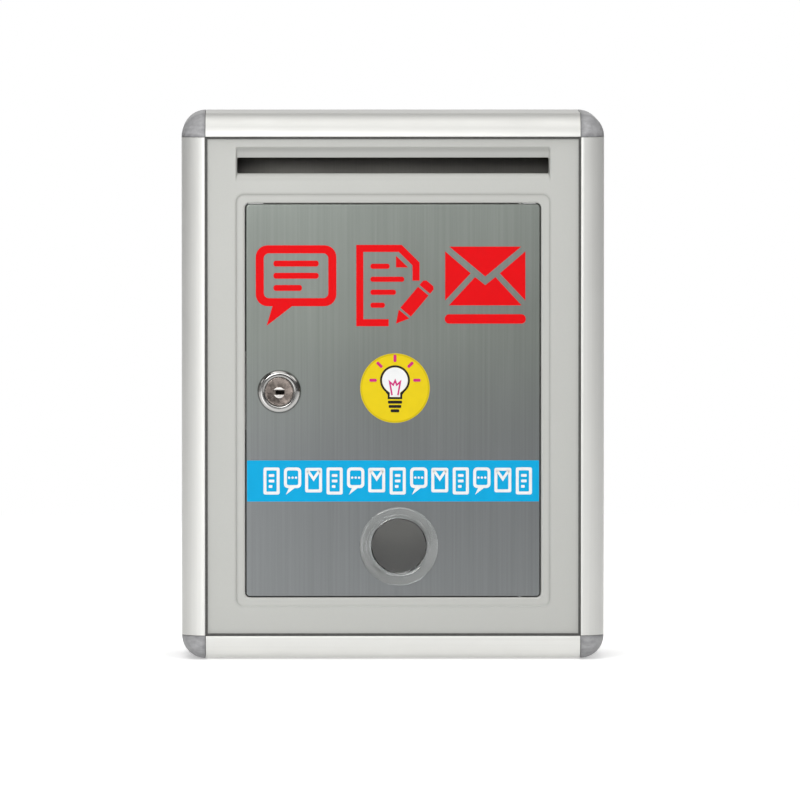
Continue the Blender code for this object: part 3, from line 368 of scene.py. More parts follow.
def panel_paint():
    """Silver-grey satin paint with a fine flake, with painted shade in the fold above the slot and
    along the ledge round the door, and a painted highlight on the slot's lower lip.
    """
    made, tree, shader = new_material("panel_paint_satin")
    flake = noise(tree, 0.22 * MM, detail=2, roughness=0.7)
    cloud = noise(tree, 45 * MM, detail=2)
    x, _, z = object_place(tree)
    across = calculated(tree, "ABSOLUTE", x)
    along_slot = within(tree, across, -SLOT_HALF, SLOT_HALF, 0.6 * MM)
    shares = []
    # Painted shade in the fold above the slot and a painted highlight on its lower lip, along the slot
    for low, high, soft, share in SLOT_PAINTED_LIGHT:
        here = calculated(tree, "MULTIPLY", within(tree, z, low, high, soft), along_slot)
        shares.append(spread(tree, here, 1, share, 0, 1))
    door_low, door_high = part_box("door_panel")
    middle = [(door_low[axis] + door_high[axis]) / 2 for axis in (0, 2)]
    half = [(door_high[axis] - door_low[axis]) / 2 + LEDGE for axis in (0, 2)]
    off_ledge = off_outline(tree, middle, half, LEDGE_CORNER)
    # Painted shade along the ledge's step round the door
    shares.append(spread(tree, calculated(tree, "ABSOLUTE", off_ledge), 0.88, 1, 0, 1.3 * MM))
    color = toned(tree, varied(tree, flake, PANEL_SILVER, 0.965, 1.035), *shares)
    surfaced(tree, shader, color, spread(tree, cloud, 0.46, 0.54), metallic=0.1)
    step = spread(tree, off_ledge, 0, 1, -1.2 * MM, 1.2 * MM)
    fold = bumped(tree, shader, step, 0.25 * MM)
    bumped(tree, shader, noise(tree, 1.3 * MM, detail=2), 0.012 * MM, fold)
    return made


def seal_rubber():
    """Matt black rubber with some dust on it."""
    made, tree, shader = new_material("seal_rubber_matt")
    dust = noise(tree, 1.6 * MM, detail=4)
    color = varied(tree, dust, RUBBER_BLACK, 1, 1.6)
    surfaced(tree, shader, color, spread(tree, dust, 0.55, 0.72))
    bumped(tree, shader, noise(tree, 0.2 * MM), 0.02 * MM)
    return made


def brushed_steel():
    """Stainless steel sheet with upright hairlines, its top painted lighter and greener as a painted
    reflection, and darker and bluer towards its foot.
    """
    made, tree, shader = new_material("brushed_steel_upright")
    fine = noise(tree, 0.16 * MM, (1, 1, 260), 3, 0.65)
    broad = noise(tree, 1.1 * MM, (1, 1, 120), 3, 0.6)
    cloud = noise(tree, 60 * MM, (1, 1, 1.6), 2)
    _, _, z = object_place(tree)
    # Painted light: the colour goes from the darker foot to the lighter top between two heights
    painted_light_rise = spread(tree, z, 0, 1, 100 * MM, 165 * MM)
    steel = blended(tree, painted_light_rise, DOOR_STEEL_PAINTED_DIM_FOOT, DOOR_STEEL_PAINTED_LIT_TOP)
    color = toned(tree, steel, spread(tree, broad, 0.93, 1.05), spread(tree, fine, 1, 0.95))
    surfaced(tree, shader, color, spread(tree, cloud, 0.30, 0.35), metallic=1)
    shader.inputs["Anisotropic"].default_value = 0.35
    tangent = add_node(tree, "ShaderNodeTangent", direction_type="RADIAL", axis="Z")
    tree.links.new(tangent.outputs["Tangent"], shader.inputs["Tangent"])
    grain = bumped(tree, shader, fine, 0.004 * MM)
    bumped(tree, shader, broad, 0.003 * MM, grain)
    return made


def metal(name, color, low, high, grain, depth=0.004 * MM):
    """A plain metal whose sheen and tone vary a little over it."""
    made, tree, shader = new_material(name)
    cloud = noise(tree, grain, detail=4, roughness=0.6)
    tone = varied(tree, cloud, color, 0.93)
    surfaced(tree, shader, tone, spread(tree, cloud, low, high), metallic=1)
    bumped(tree, shader, noise(tree, grain / 12, detail=2), depth)
    return made


def plug_metal():
    """Dark die-cast metal, blotched by handling, and painted black down its keyway as painted shade.
    """
    made, tree, shader = new_material("plug_die_cast")
    blotches = noise(tree, 2.6 * MM, detail=3, roughness=0.6)
    face = middle_of("lock_plug")[2]
    _, y, _ = object_place(tree)
    keyway_end = face + KEYWAY_DEPTH + 1 * MM
    # Painted shade: black down the keyway, past a little depth behind the face
    inside = within(tree, y, face + KEYWAY_SHADE, keyway_end, 0.8 * MM)
    metal_tone = varied(tree, blotches, PLUG_GREY, 0.6, 1.5)
    color = toned(tree, metal_tone, spread(tree, inside, 1, 0.06, 0, 1))
    surfaced(tree, shader, color, spread(tree, blotches, 0.2, 0.34), metallic=1)
    bumped(tree, shader, noise(tree, 0.2 * MM, detail=2), 0.002 * MM)
    return made


def rolled_sheet():
    """Mill-finish aluminium sheet with faint roll lines, its dull grey darkened as painted shade for
    the box's inside seen through the slot and the window.
    """
    made, tree, shader = new_material("back_sheet_rolled")
    lines = noise(tree, 0.6 * MM, (1, 1, 200), 3)
    cloud = noise(tree, 24 * MM, detail=4)
    tone = varied(tree, lines, SHADED_MILL_ALUMINIUM, 0.92)
    surfaced(tree, shader, tone, spread(tree, cloud, 0.34, 0.42), metallic=1)
    bumped(tree, shader, lines, 0.003 * MM)
    return made


def plastic(name, color, low, high):
    """Moulded plastic, slightly uneven in tone and sheen."""
    made, tree, shader = new_material(name)
    grain = 2 * MM
    cloud = noise(tree, grain, detail=3)
    surfaced(tree, shader, varied(tree, cloud, color, 0.93), spread(tree, cloud, low, high))
    bumped(tree, shader, noise(tree, grain / 6), 0.006 * MM)
    return made


def clear_plastic():
    """Clear moulded plastic with fine scuffs, and a milky haze on the flange round its pane."""
    made, tree, shader = new_material("clear_plastic_moulded")
    haze = noise(tree, 2.4 * MM, detail=5, roughness=0.65)
    surfaced(tree, shader, varied(tree, haze, CLEAR, 0.96), spread(tree, haze, 0.03, 0.09))
    shader.inputs["IOR"].default_value = 1.49
    x, z, front, _ = middle_of("window_lens")
    from_axis = vector_sums(
        tree, object_point(tree), ("SUBTRACT", (x, front, z)), ("MULTIPLY", (1, 0, 1))
    )
    clear = spread(tree, length_of(tree, from_axis), 1, 0.93, 14.2 * MM, 16 * MM)
    tree.links.new(clear, shader.inputs["Transmission Weight"])
    bumped(tree, shader, noise(tree, 0.9 * MM, detail=2), 0.0008 * MM)
    return made


def printed(name, color):
    """Screen-printed vinyl film with a slight unevenness in the ink."""
    made, tree, shader = new_material(name)
    patchy = noise(tree, 5 * MM, detail=4)
    surfaced(tree, shader, varied(tree, patchy, color, 0.95), spread(tree, patchy, 0.46, 0.58))
    shader.inputs["Specular IOR Level"].default_value = 0.1
    bumped(tree, shader, noise(tree, 0.5 * MM, detail=2), 0.003 * MM)
    return made


UPRIGHT_ALUMINIUM = drawn_aluminium("aluminium_upright", "Z")
LEVEL_ALUMINIUM = drawn_aluminium("aluminium_level", "X")
CAP_PLASTIC = cap_plastic()
PANEL_PAINT = panel_paint()
SEAL_RUBBER = seal_rubber()
BRUSHED_STEEL = brushed_steel()
BACK_SHEET = rolled_sheet()
PLAIN_STEEL = metal("plain_steel_zinc", ZINC, 0.26, 0.38, 3 * MM)
CHROME_PLATE = metal("chrome_plate", CHROME, 0.07, 0.13, 6 * MM, 0.001 * MM)
PLUG_METAL = plug_metal()
LIP_METAL = metal("key_lip_nickel", LIP_NICKEL, 0.28, 0.36, 2 * MM, 0.002 * MM)
NYLON = plastic("nylon_moulded", NYLON_WHITE, 0.42, 0.55)
BLACK_PLASTIC = plastic("black_plastic_moulded", PLASTIC_BLACK, 0.36, 0.5)
CLEAR_PLASTIC = clear_plastic()
INKS = {name: printed(f"print_{name}", color) for name, color in INK_COLORS.items()}


# Outlines and meshes


def in_mm(*points):
    """Points whose two numbers are given in millimetres."""
    return [(first * MM, second * MM) for first, second in points]


def arc(center, radius, start, end, steps):
    """Points from one angle to another, both ends included, in degrees."""
    points = []
    for step in range(steps + 1):
        angle = math.radians(start + (end - start) * step / steps)
        across, up = radius * math.cos(angle), radius * math.sin(angle)
        points.append((center[0] + across, center[1] + up))
    return points


def rounded_rectangle(left, right, bottom, top, radius, steps=6):
    """A rectangle with round corners, counter-clockwise from its lower right one."""
    corners = (
        (right - radius, bottom + radius, -90),
        (right - radius, top - radius, 0),
        (left + radius, top - radius, 90),
        (left + radius, bottom + radius, 180),
    )
    points = []
    for x, z, start in corners:
        points += arc((x, z), radius, start, start + 90, steps)
    return points


def circle(x, z, radius, steps=96):
    return arc((x, z), radius, 0, 360 - 360 / steps, steps - 1)


def flatted_circle(x, z, radius, flat):
    """A circle with its top and bottom cut level."""
    edge = math.degrees(math.asin(flat / radius))
    return arc((x, z), radius, -edge, edge, 24) + arc((x, z), radius, 180 - edge, 180 + edge, 24)


def stroke(points, width):
    """The outline of a line of one width through points, mitred at its bends."""
    path = [Vector(point) for point in points]
    left = []
    right = []
    for index, here in enumerate(path):
        before = (here - path[index - 1]).normalized() if index else (path[1] - here).normalized()
        after = (path[index + 1] - here).normalized() if index + 1 < len(path) else before
        side = Vector((-(before + after).y, (before + after).x)).normalized()
        across = Vector((-after.y, after.x))
        reach = width / 2 / side.dot(across)
        left.append(tuple(here + side * reach))
        right.append(tuple(here - side * reach))
    return left + right[::-1]


def shifted(outline, x, z, turn=0.0):
    """An outline turned by degrees and moved in its plane."""
    cosine = math.cos(math.radians(turn))
    sine = math.sin(math.radians(turn))
    return [(x + px * cosine - pz * sine, z + px * sine + pz * cosine) for px, pz in outline]


def shade(mesh):
    """Shades a mesh smooth, apart from its real edges."""
    mesh.shade_smooth()
    mesh.set_sharp_from_angle(angle=SMOOTH_ANGLE)


def finished_mesh(obj):
    """The object's evaluated mesh, welded, shaded and facing out. The object is removed."""
    bpy.context.view_layer.update()
    graph = bpy.context.evaluated_depsgraph_get()
    mesh = bpy.data.meshes.new_from_object(obj.evaluated_get(graph))
    mesh.name = obj.name
    work = bmesh.new()
    work.from_mesh(mesh)
    bmesh.ops.remove_doubles(work, verts=work.verts, dist=WELD)
    bmesh.ops.recalc_face_normals(work, faces=work.faces)
    work.to_mesh(mesh)
    work.free()
    shade(mesh)
    bpy.data.objects.remove(obj)
    return mesh


def mesh_of(work, name):
    """A new mesh of what was worked on."""
    mesh = bpy.data.meshes.new(name)
    work.to_mesh(mesh)
    work.free()
    return mesh


def linked(name, data):
    obj = bpy.data.objects.new(name, data)
    bpy.context.scene.collection.objects.link(obj)
    return obj


def extruded(name, groups, length):
    """Groups of flat outlines, extruded along Z to both sides of zero.

    In a group, the outlines after the first are holes in it.
    """
    work = bmesh.new()
    for outlines in groups:
        curve = bpy.data.curves.new(name, "CURVE")
        curve.dimensions = "2D"
        curve.fill_mode = "BOTH"
        curve.extrude = length / 2
        for outline in outlines:
            spline = curve.splines.new("POLY")
            spline.points.add(len(outline) - 1)
            for point, (x, y) in zip(spline.points, outline):
                point.co = (x, y, 0, 1)
            spline.use_cyclic_u = True
        shape = finished_mesh(linked(name, curve))
        work.from_mesh(shape)
        bpy.data.meshes.remove(shape)
    mesh = mesh_of(work, name)
    shade(mesh)
    return mesh


def turned(name, outline, steps=128, closed=False):
    """A solid turned about Z from (radius, depth) points, over the front and then down its side."""
    work = bmesh.new()
    verts = [work.verts.new((radius, 0, -depth)) for radius, depth in outline]
    for first, second in zip(verts, verts[1:]):
        work.edges.new((first, second))
    if closed:
        work.edges.new((verts[-1], verts[0]))
    obj = linked(name, mesh_of(work, name))
    screw = obj.modifiers.new("turn", "SCREW")
    screw.steps = steps
    screw.render_steps = steps
    screw.use_merge_vertices = True
    screw.merge_threshold = WELD
    return finished_mesh(obj)


def box_mesh(name, low, high):
    """A block between two corners, to cut with or to join."""
    low, high = Vector(low), Vector(high)
    work = bmesh.new()
    bmesh.ops.create_cube(work, size=1)
    bmesh.ops.scale(work, vec=high - low, verts=work.verts)
    bmesh.ops.translate(work, vec=(low + high) / 2, verts=work.verts)
    return mesh_of(work, name)


def combined(mesh, others, operation="DIFFERENCE"):
    """The mesh with others cut from it or joined to it."""
    obj = linked(mesh.name, mesh)
    helpers = [linked("helper", other) for other in others]
    for helper in helpers:
        boolean = obj.modifiers.new("boolean", "BOOLEAN")
        boolean.operation = operation
        boolean.object = helper
        boolean.solver = "EXACT"
    made = finished_mesh(obj)
    for helper in helpers:
        bpy.data.objects.remove(helper)
    return made


def rounded_edges(obj, width, angle=40, segments=3):
    """Small rounds on the piece's edges, so that they catch the light."""
    bevel = obj.modifiers.new("rounds", "BEVEL")
    bevel.width = width
    bevel.segments = segments
    bevel.limit_method = "ANGLE"
    bevel.angle_limit = math.radians(angle)
    bevel.harden_normals = True


def keep_flats(obj):
    """Lets large flat faces rule the shading, so that small rounds beside them leave them flat."""
    weighted = obj.modifiers.new("flats", "WEIGHTED_NORMAL")
    weighted.keep_sharp = True
    weighted.weight = 100


def add_piece(name, mesh, finish, body, nodes=()):
    """A piece that rides on a body, takes a finish, and hides the nodes named in its place."""
    obj = linked(name, mesh)
    keep_flats(obj)
    mesh.materials.clear()
    mesh.materials.append(finish)
    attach(obj, body)
    if nodes:
        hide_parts(*nodes)


def placed(mesh, place, turn=FACING_FRONT):
    """The mesh turned and moved to its place, since every piece's own axes are the box's."""
    mesh.transform(Matrix.Translation(Vector(place)) @ turn)
    return mesh


# Dressing of the nodes that stay


def smoothing_group():
    """Welds a node's facets and shades it smooth, apart from its real edges."""
    group = bpy.data.node_groups.new("smooth_facets", "GeometryNodeTree")
    group.interface.new_socket("Geometry", in_out="INPUT", socket_type="NodeSocketGeometry")
    group.interface.new_socket("Geometry", in_out="OUTPUT", socket_type="NodeSocketGeometry")
    start = add_node(group, "NodeGroupInput")
    weld = add_node(group, "GeometryNodeMergeByDistance")
    weld.inputs["Distance"].default_value = WELD
    plain = add_node(group, "GeometryNodeRemoveAttribute")
    plain.inputs["Name"].default_value = "custom_normal"
    faces = add_node(group, "GeometryNodeSetShadeSmooth", domain="FACE")
    angle = add_node(group, "GeometryNodeInputMeshEdgeAngle")
    below = add_node(group, "FunctionNodeCompare", data_type="FLOAT", operation="LESS_THAN")
    below.inputs["B"].default_value = SMOOTH_ANGLE
    edges = add_node(group, "GeometryNodeSetShadeSmooth", domain="EDGE")
    end = add_node(group, "NodeGroupOutput")
    chain = (start, weld, plain, faces, edges, end)
    for first, second in zip(chain, chain[1:]):
        group.links.new(first.outputs["Geometry"], second.inputs["Geometry"])
    group.links.new(angle.outputs["Unsigned Angle"], below.inputs["A"])
    group.links.new(below.outputs["Result"], edges.inputs["Shade Smooth"])
    return group


SMOOTHING = smoothing_group()


def dress(name, finish, round_width=0.0):
    """Gives a node that stays its material, smooth facets and small rounds."""
    obj = NODES[name]
    for slot in obj.material_slots:
        slot.material = finish
    smooth = obj.modifiers.new("smooth", "NODES")
    smooth.node_group = SMOOTHING
    if round_width:
        flat = obj.modifiers.new("flat_faces", "DECIMATE")
        flat.decimate_type = "DISSOLVE"
        flat.angle_limit = FLAT_ANGLE
        rounded_edges(obj, round_width)
    keep_flats(obj)


def dress_nodes():
    """Dresses the nodes that stay, each with its finish and the width of its rounds."""
    for finish, round_width, *names in (
        (UPRIGHT_ALUMINIUM, 0, "frame_left", "frame_right"),
        (LEVEL_ALUMINIUM, 0, "frame_top", "frame_bottom"),
        (CAP_PLASTIC, 0, "corner_cap_top_left", "corner_cap_top_right"),
        (CAP_PLASTIC, 0, "corner_cap_bottom_left", "corner_cap_bottom_right"),
        (PANEL_PAINT, 0, "front_panel"),
        (SEAL_RUBBER, 0, "panel_seal"),
        (BACK_SHEET, 0, "back_panel"),
        (BLACK_PLASTIC, 0.1 * MM, "window_ring"),
        (NYLON, 0.1 * MM, "hinge_bush_top", "hinge_bush_bottom"),
        (PLAIN_STEEL, 0.1 * MM, "hinge_pin_top", "hinge_pin_bottom"),
        (PLAIN_STEEL, 0, "keeper_rivet_1", "keeper_rivet_2"),
        (PLAIN_STEEL, 0.12 * MM, "lock_keeper", "lock_nut", "lock_cam"),
        (PLAIN_STEEL, 0.08 * MM, "lock_washer", "cam_washer"),
    ):
        for name in names:
            dress(name, finish, round_width)


# Door


DOOR_X, DOOR_Z, DOOR_FACE, DOOR_END = middle_of("door_panel")
DOOR_HALF = [(high - low) / 2 for low, high in zip(*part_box("door_panel"))]
DOOR_SHEET = 1 * MM
DOOR_BEND = 0.4 * MM
DOOR_CORNER = 1.8 * MM
PIN_HOLE = 1.35 * MM
HOLE_GAP = 0.1 * MM


def loop_at(work, outline, depth):
    """A ring of points on the door, at a depth behind its face."""
    return [work.verts.new((x, DOOR_FACE + depth, z)) for x, z in outline]


def bridge(work, first, second):
    """Fills the faces between two rings of as many points."""
    count = len(first)
    for index in range(count):
        after = (index + 1) % count
        work.faces.new((first[index], first[after], second[after], second[index]))


def fill_between(work, loops):
    """Fills a flat face inside the first loop and outside the others."""
    edges = []
    for loop in loops:
        for first, second in zip(loop, loop[1:] + loop[:1]):
            edges.append(work.edges.get((first, second)) or work.edges.new((first, second)))
    bmesh.ops.triangle_fill(work, edges=edges, normal=(0, -1, 0), use_beauty=True)


def door_outline(inset):
    """The door's outline in from its edge, with the corner's radius less by as much."""
    across = DOOR_HALF[0] - inset
    along = DOOR_HALF[2] - inset
    return rounded_rectangle(
        DOOR_X - across, DOOR_X + across, DOOR_Z - along, DOOR_Z + along, DOOR_CORNER - inset
    )


def pin_cutter():
    """A rod on the hinge's axis, for the holes in the door's folds at top and bottom."""
    x, _, front, back = middle_of("hinge_pin_top")
    hole = circle(x, (front + back) / 2, PIN_HOLE, 32)
    cutter = extruded("pin_hole", [[hole]], 3 * DOOR_HALF[2])
    cutter.transform(Matrix.Translation((0, 0, DOOR_Z)))
    return cutter


def make_door():
    """A folded sheet tray, open to the back, with holes for the lock, the window and the pins."""
    depth = DOOR_END - DOOR_FACE
    lock_hole = flatted_circle(LOCK_X, LOCK_Z, BARREL_RADIUS + HOLE_GAP, BARREL_FLAT + HOLE_GAP)
    window_hole = circle(WINDOW_X, WINDOW_Z, WINDOW_TUBE + HOLE_GAP)
    work = bmesh.new()
    rings = []
    for sideways, back in arc((0, DOOR_BEND), DOOR_BEND, -90, 0, 4):
        rings.append(loop_at(work, door_outline(DOOR_BEND - sideways), back))
    rings.append(loop_at(work, door_outline(0), depth))
    rings.append(loop_at(work, door_outline(DOOR_SHEET), depth))
    rings.append(loop_at(work, door_outline(DOOR_SHEET), DOOR_SHEET))
    for first, second in zip(rings, rings[1:]):
        bridge(work, first, second)
    front_holes = [loop_at(work, outline, 0) for outline in (lock_hole, window_hole)]
    back_holes = [loop_at(work, outline, DOOR_SHEET) for outline in (lock_hole, window_hole)]
    for first, second in zip(front_holes, back_holes):
        bridge(work, first, second)
    fill_between(work, [rings[0], *front_holes])
    fill_between(work, [rings[-1], *back_holes])
    bmesh.ops.recalc_face_normals(work, faces=work.faces)
    door = combined(mesh_of(work, "door_folded"), [pin_cutter()])
    add_piece("door_folded", door, BRUSHED_STEEL, "door", ["door_panel"])


# Lock


LOCK_X, LOCK_Z, LOCK_FRONT, LOCK_BACK = middle_of("lock_body")
FLANGE = 2.6 * MM
FLANGE_RADIUS = 11.1 * MM
BARREL_RADIUS = 9 * MM
BARREL_FLAT = 8 * MM
BARREL_CHAMFER = 0.4 * MM
BOWL_RADIUS = 7.5 * MM
BOWL_DEPTH = 1.25 * MM
BORE_RADIUS = 6.15 * MM
THREAD_START = FLANGE + 1.2 * MM
THREAD_PITCH = 1 * MM
THREAD_DEPTH = 0.5 * MM
OVERCUT = 2 * MM

PLUG_SINK = 1.7 * MM
PLUG_FACE = LOCK_FRONT + PLUG_SINK
PLUG_RADIUS = 7.25 * MM
PLUG_HEAD = 1 * MM
PLUG_SHANK = 5.9 * MM
PLUG_SHOULDER = 13.1 * MM
STUB_HALF = 3 * MM

# The guides above and below the keyway: how far they stand out, their edges' rounds, and each one's
# middle up from the plug's, its radius, and the angles at which its arc starts and ends
GUIDE_RISE = 1 * MM
GUIDE_ROUND = 0.35 * MM
GUIDES = (
    (-1.65 * MM, 3.8 * MM, 43.2, 136.8),
    (-0.39 * MM, 2.91 * MM, 205.7, 334.3),
)


def lock_dome():
    """The flange's domed ring from the bowl's edge out, as (radius, depth) points."""
    shares = (
        (0, 0.30), (0.03, 0.13), (0.06, 0.05), (0.10, 0.01), (0.18, 0), (0.42, 0.004),
        (0.52, 0.025), (0.62, 0.075), (0.72, 0.155), (0.81, 0.27), (0.88, 0.41), (0.94, 0.59),
        (0.98, 0.8), (1, 1),
    )
    rim = FLANGE_RADIUS - BOWL_RADIUS
    return [(BOWL_RADIUS + across * rim, drop * FLANGE) for across, drop in shares]


def make_lock_body():
    """The domed flange and its threaded barrel with two flats, bored for the plug."""
    barrel_end = LOCK_BACK - LOCK_FRONT
    bowl_back = PLUG_SINK + BOWL_DEPTH
    outline = [(BOWL_RADIUS, PLUG_SINK)] + lock_dome()
    outline += [(BARREL_RADIUS, FLANGE), (BARREL_RADIUS, THREAD_START)]
    turns = int((barrel_end - THREAD_START - THREAD_PITCH / 2) / THREAD_PITCH)
    for turn in range(turns):
        depth = THREAD_START + turn * THREAD_PITCH
        outline.append((BARREL_RADIUS - THREAD_DEPTH, depth + THREAD_PITCH / 2))
        outline.append((BARREL_RADIUS, depth + THREAD_PITCH))
    outline += [
        (BARREL_RADIUS - BARREL_CHAMFER, barrel_end),
        (BORE_RADIUS, barrel_end),
        (BORE_RADIUS, bowl_back),
        (BOWL_RADIUS, bowl_back),
    ]
    body = turned("lock_body_turned", outline, closed=True)
    placed(body, (LOCK_X, LOCK_FRONT, LOCK_Z))
    reach = BARREL_RADIUS + OVERCUT
    flats = [
        box_mesh(
            "barrel_flat",
            (LOCK_X - reach, LOCK_FRONT + FLANGE, LOCK_Z + low),
            (LOCK_X + reach, LOCK_BACK + OVERCUT, LOCK_Z + high),
        )
        for low, high in ((BARREL_FLAT, reach), (-reach, -BARREL_FLAT))
    ]
    body = combined(body, flats)
    add_piece("lock_body_dressed", body, CHROME_PLATE, "door", ["lock_body"])


def keyway_cutter():
    """The level slot for the key, a little off the plug's middle."""
    across, up = KEYWAY_HALF
    outline = rounded_rectangle(-across, across, -up, up, KEYWAY_CORNER, 3)
    slot = extruded("keyway", [[outline]], 2 * KEYWAY_DEPTH)
    return placed(slot, (LOCK_X + KEYWAY_SHIFT, PLUG_FACE, LOCK_Z + KEYWAY_RISE))


def make_plug():
    """The plug with its dished face and its keyway, and the square stub that turns the cam."""
    outline = in_mm((0, 0.25), (3.2, 0.22), (5.6, 0.12), (6.6, 0.02), (6.95, 0), (7.15, 0.08))
    outline += [
        (PLUG_RADIUS, 0.3 * MM),
        (PLUG_RADIUS, PLUG_HEAD),
        (PLUG_SHANK, PLUG_HEAD),
        (PLUG_SHANK, PLUG_SHOULDER),
        (0, PLUG_SHOULDER),
    ]
    head = placed(turned("lock_plug_turned", outline), (LOCK_X, PLUG_FACE, LOCK_Z))
    stub = box_mesh(
        "cam_stub",
        (LOCK_X - STUB_HALF, PLUG_FACE + PLUG_SHOULDER - OVERCUT, LOCK_Z - STUB_HALF),
        (LOCK_X + STUB_HALF, middle_of("lock_plug")[3], LOCK_Z + STUB_HALF),
    )
    plug = combined(combined(head, [stub], "UNION"), [keyway_cutter()])
    add_piece("lock_plug_dressed", plug, PLUG_METAL, "lock_plug", ["lock_plug"])


def make_key_guide():
    """The bright rounded lips above and below the keyway."""
    lips = []
    for middle, radius, start, end in GUIDES:
        outline = arc((0, middle), radius, start, end, 16)
        lip = linked("key_lip", extruded("key_lip", [[outline]], 2 * GUIDE_RISE))
        rounded_edges(lip, GUIDE_ROUND, 50, 4)
        lips.append(placed(finished_mesh(lip), (LOCK_X, PLUG_FACE, LOCK_Z)))
    guide = combined(lips[0], lips[1:], "UNION")
    guide.name = "key_guide"
    add_piece("key_guide", guide, LIP_METAL, "lock_plug")


# Screws


# The frame's screws, and the turn of their crosses in degrees, each further round than the last
FRAME_SCREWS = 8
FIRST_TURN = 20
TURN_EACH = 47


def cross_recess(width, reach, depth):
    """A cross-shaped cutter along Z, to both sides of zero."""
    half = width / 2
    outline = []
    for turn in (0, 90, 180, 270):
        outline += shifted([(reach, -half), (reach, half), (half, half)], 0, 0, turn)
    return extruded("cross", [[outline]], 2 * depth)


def make_frame_screws():
    """Countersunk screws from the back, each driven home at its own angle."""
    for number in range(1, FRAME_SCREWS + 1):
        name = f"frame_screw_{number}"
        x, z, front, back = middle_of(name)
        length = back - front
        outline = in_mm(
            (0, -0.15), (1.4, -0.12), (2.2, -0.03), (2.5, 0.08), (2.5, 0.2), (1.4, 1.3)
        )
        outline += [(1.4 * MM, length - 1.5 * MM), (0, length)]
        cross = cross_recess(0.62 * MM, 1.45 * MM, 1.1 * MM)
        cross.transform(Matrix.Rotation(math.radians(FIRST_TURN + TURN_EACH * number), 4, "Z"))
        head = turned("screw", outline, 48)
        screw = placed(combined(head, [cross]), (x, back, z), FACING_BACK)
        add_piece(f"frame_screw_{number}_dressed", screw, PLAIN_STEEL, "box", [name])


def make_cam_screw():
    """The pan-head screw that holds the cam on the plug's stub."""
    x, z, front, back = middle_of("cam_screw")
    length = back - front
    outline = in_mm(
        (0, 0), (1.6, 0.05), (2.6, 0.32), (3.3, 0.8), (3.6, 1.4), (3.6, 2.2), (1.6, 2.2)
    )
    outline += [(1.6 * MM, length), (0, length)]
    head = turned("cam_screw_turned", outline, 64)
    cross = cross_recess(0.8 * MM, 2 * MM, 1.4 * MM)
    screw = placed(combined(head, [cross]), (x, back, z), FACING_BACK)
    add_piece("cam_screw_dressed", screw, PLAIN_STEEL, "lock_plug", ["cam_screw"])


# Window


WINDOW_X, WINDOW_Z, WINDOW_FRONT, WINDOW_BACK = middle_of("window_lens")
WINDOW_TUBE = 14.5 * MM
WINDOW_BORE = 13.3 * MM


def make_window():
    """The clear flanged cup, with the moulded step and the rounded crest of the real one."""
    face = DOOR_FACE - WINDOW_FRONT
    end = WINDOW_BACK - WINDOW_FRONT
    pane_front = face + 1.6 * MM
    pane_back = face + 2.8 * MM
    flange_back = face - 0.25 * MM
    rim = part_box("window_lens")[1][0] - WINDOW_X
    outline = [
        (0, pane_front),
        (13.4 * MM, pane_front),
        (13.75 * MM, face + 1.45 * MM),
        (13.95 * MM, face + 1.1 * MM),
        (14.05 * MM, face + 0.4 * MM),
    ]
    outline += in_mm(
        (14.15, 0.55), (14.4, 0.34), (14.8, 0.2), (15.2, 0.09), (15.55, 0.02), (15.75, 0),
        (15.95, 0.06), (16.15, 0.3), (16.4, 0.45),
    )
    outline += [
        (rim - 2 * MM, 0.5 * MM),
        (rim - 0.8 * MM, 0.58 * MM),
        (rim - 0.3 * MM, 0.75 * MM),
        (rim - 0.05 * MM, 1 * MM),
        (rim, 1.25 * MM),
        (rim, flange_back),
        (WINDOW_TUBE, flange_back),
        (WINDOW_TUBE, end),
        (WINDOW_BORE, end),
        (WINDOW_BORE, pane_back),
        (0, pane_back),
    ]
    lens = placed(turned("window_lens_turned", outline), (WINDOW_X, WINDOW_FRONT, WINDOW_Z))
    add_piece("window_lens_dressed", lens, CLEAR_PLASTIC, "door", ["window_lens"])


# Printed marks on the door, drawn in millimetres about places in metres


FIGURES_Z = 190.3 * MM
DISC_X = 1 * MM
DISC_Z = 138.1 * MM
BULB_RISE = 4
BAND_Z = 90.8 * MM
BAND_HALF = 10.5
BAND_SIGNS = 13
SIGN_PITCH = 10.7
SIGN_SHIFT = 2.4 * MM


def add_print(name, groups, finish, x, z, layer=1):
    """Film shapes on the door's face about a point. A higher layer lies on a lower one."""
    mesh = extruded(name, [[in_mm(*outline) for outline in outlines] for outlines in groups], FILM)
    depth = FILM_GAP + FILM / 2 + (layer - 1) * (FILM + FILM_GAP)
    placed(mesh, (x, DOOR_FACE - depth, z))
    add_piece(name, mesh, finish, "door")


def bars(left, half, corner, steps, *ends):
    """Bars of writing from a left edge, each with its middle's height and its right end."""
    return [
        [rounded_rectangle(left, right, z - half, z + half, corner, steps)] for z, right in ends
    ]


def bubble_groups():
    """A speech bubble with three bars of writing."""
    outer = rounded_rectangle(-20.5, 20.5, -10.5, 20.5, 6)
    outer += [(-12, -10.5), (-15, -20.5), (-2, -10.5)]
    inner = rounded_rectangle(-16.4, 16.4, -6.4, 16.4, 2.6)
    return [[outer, inner]] + bars(-11.5, 1.5, 1.2, 3, (11.2, 11.5), (5, 11.5), (-1.2, 3))


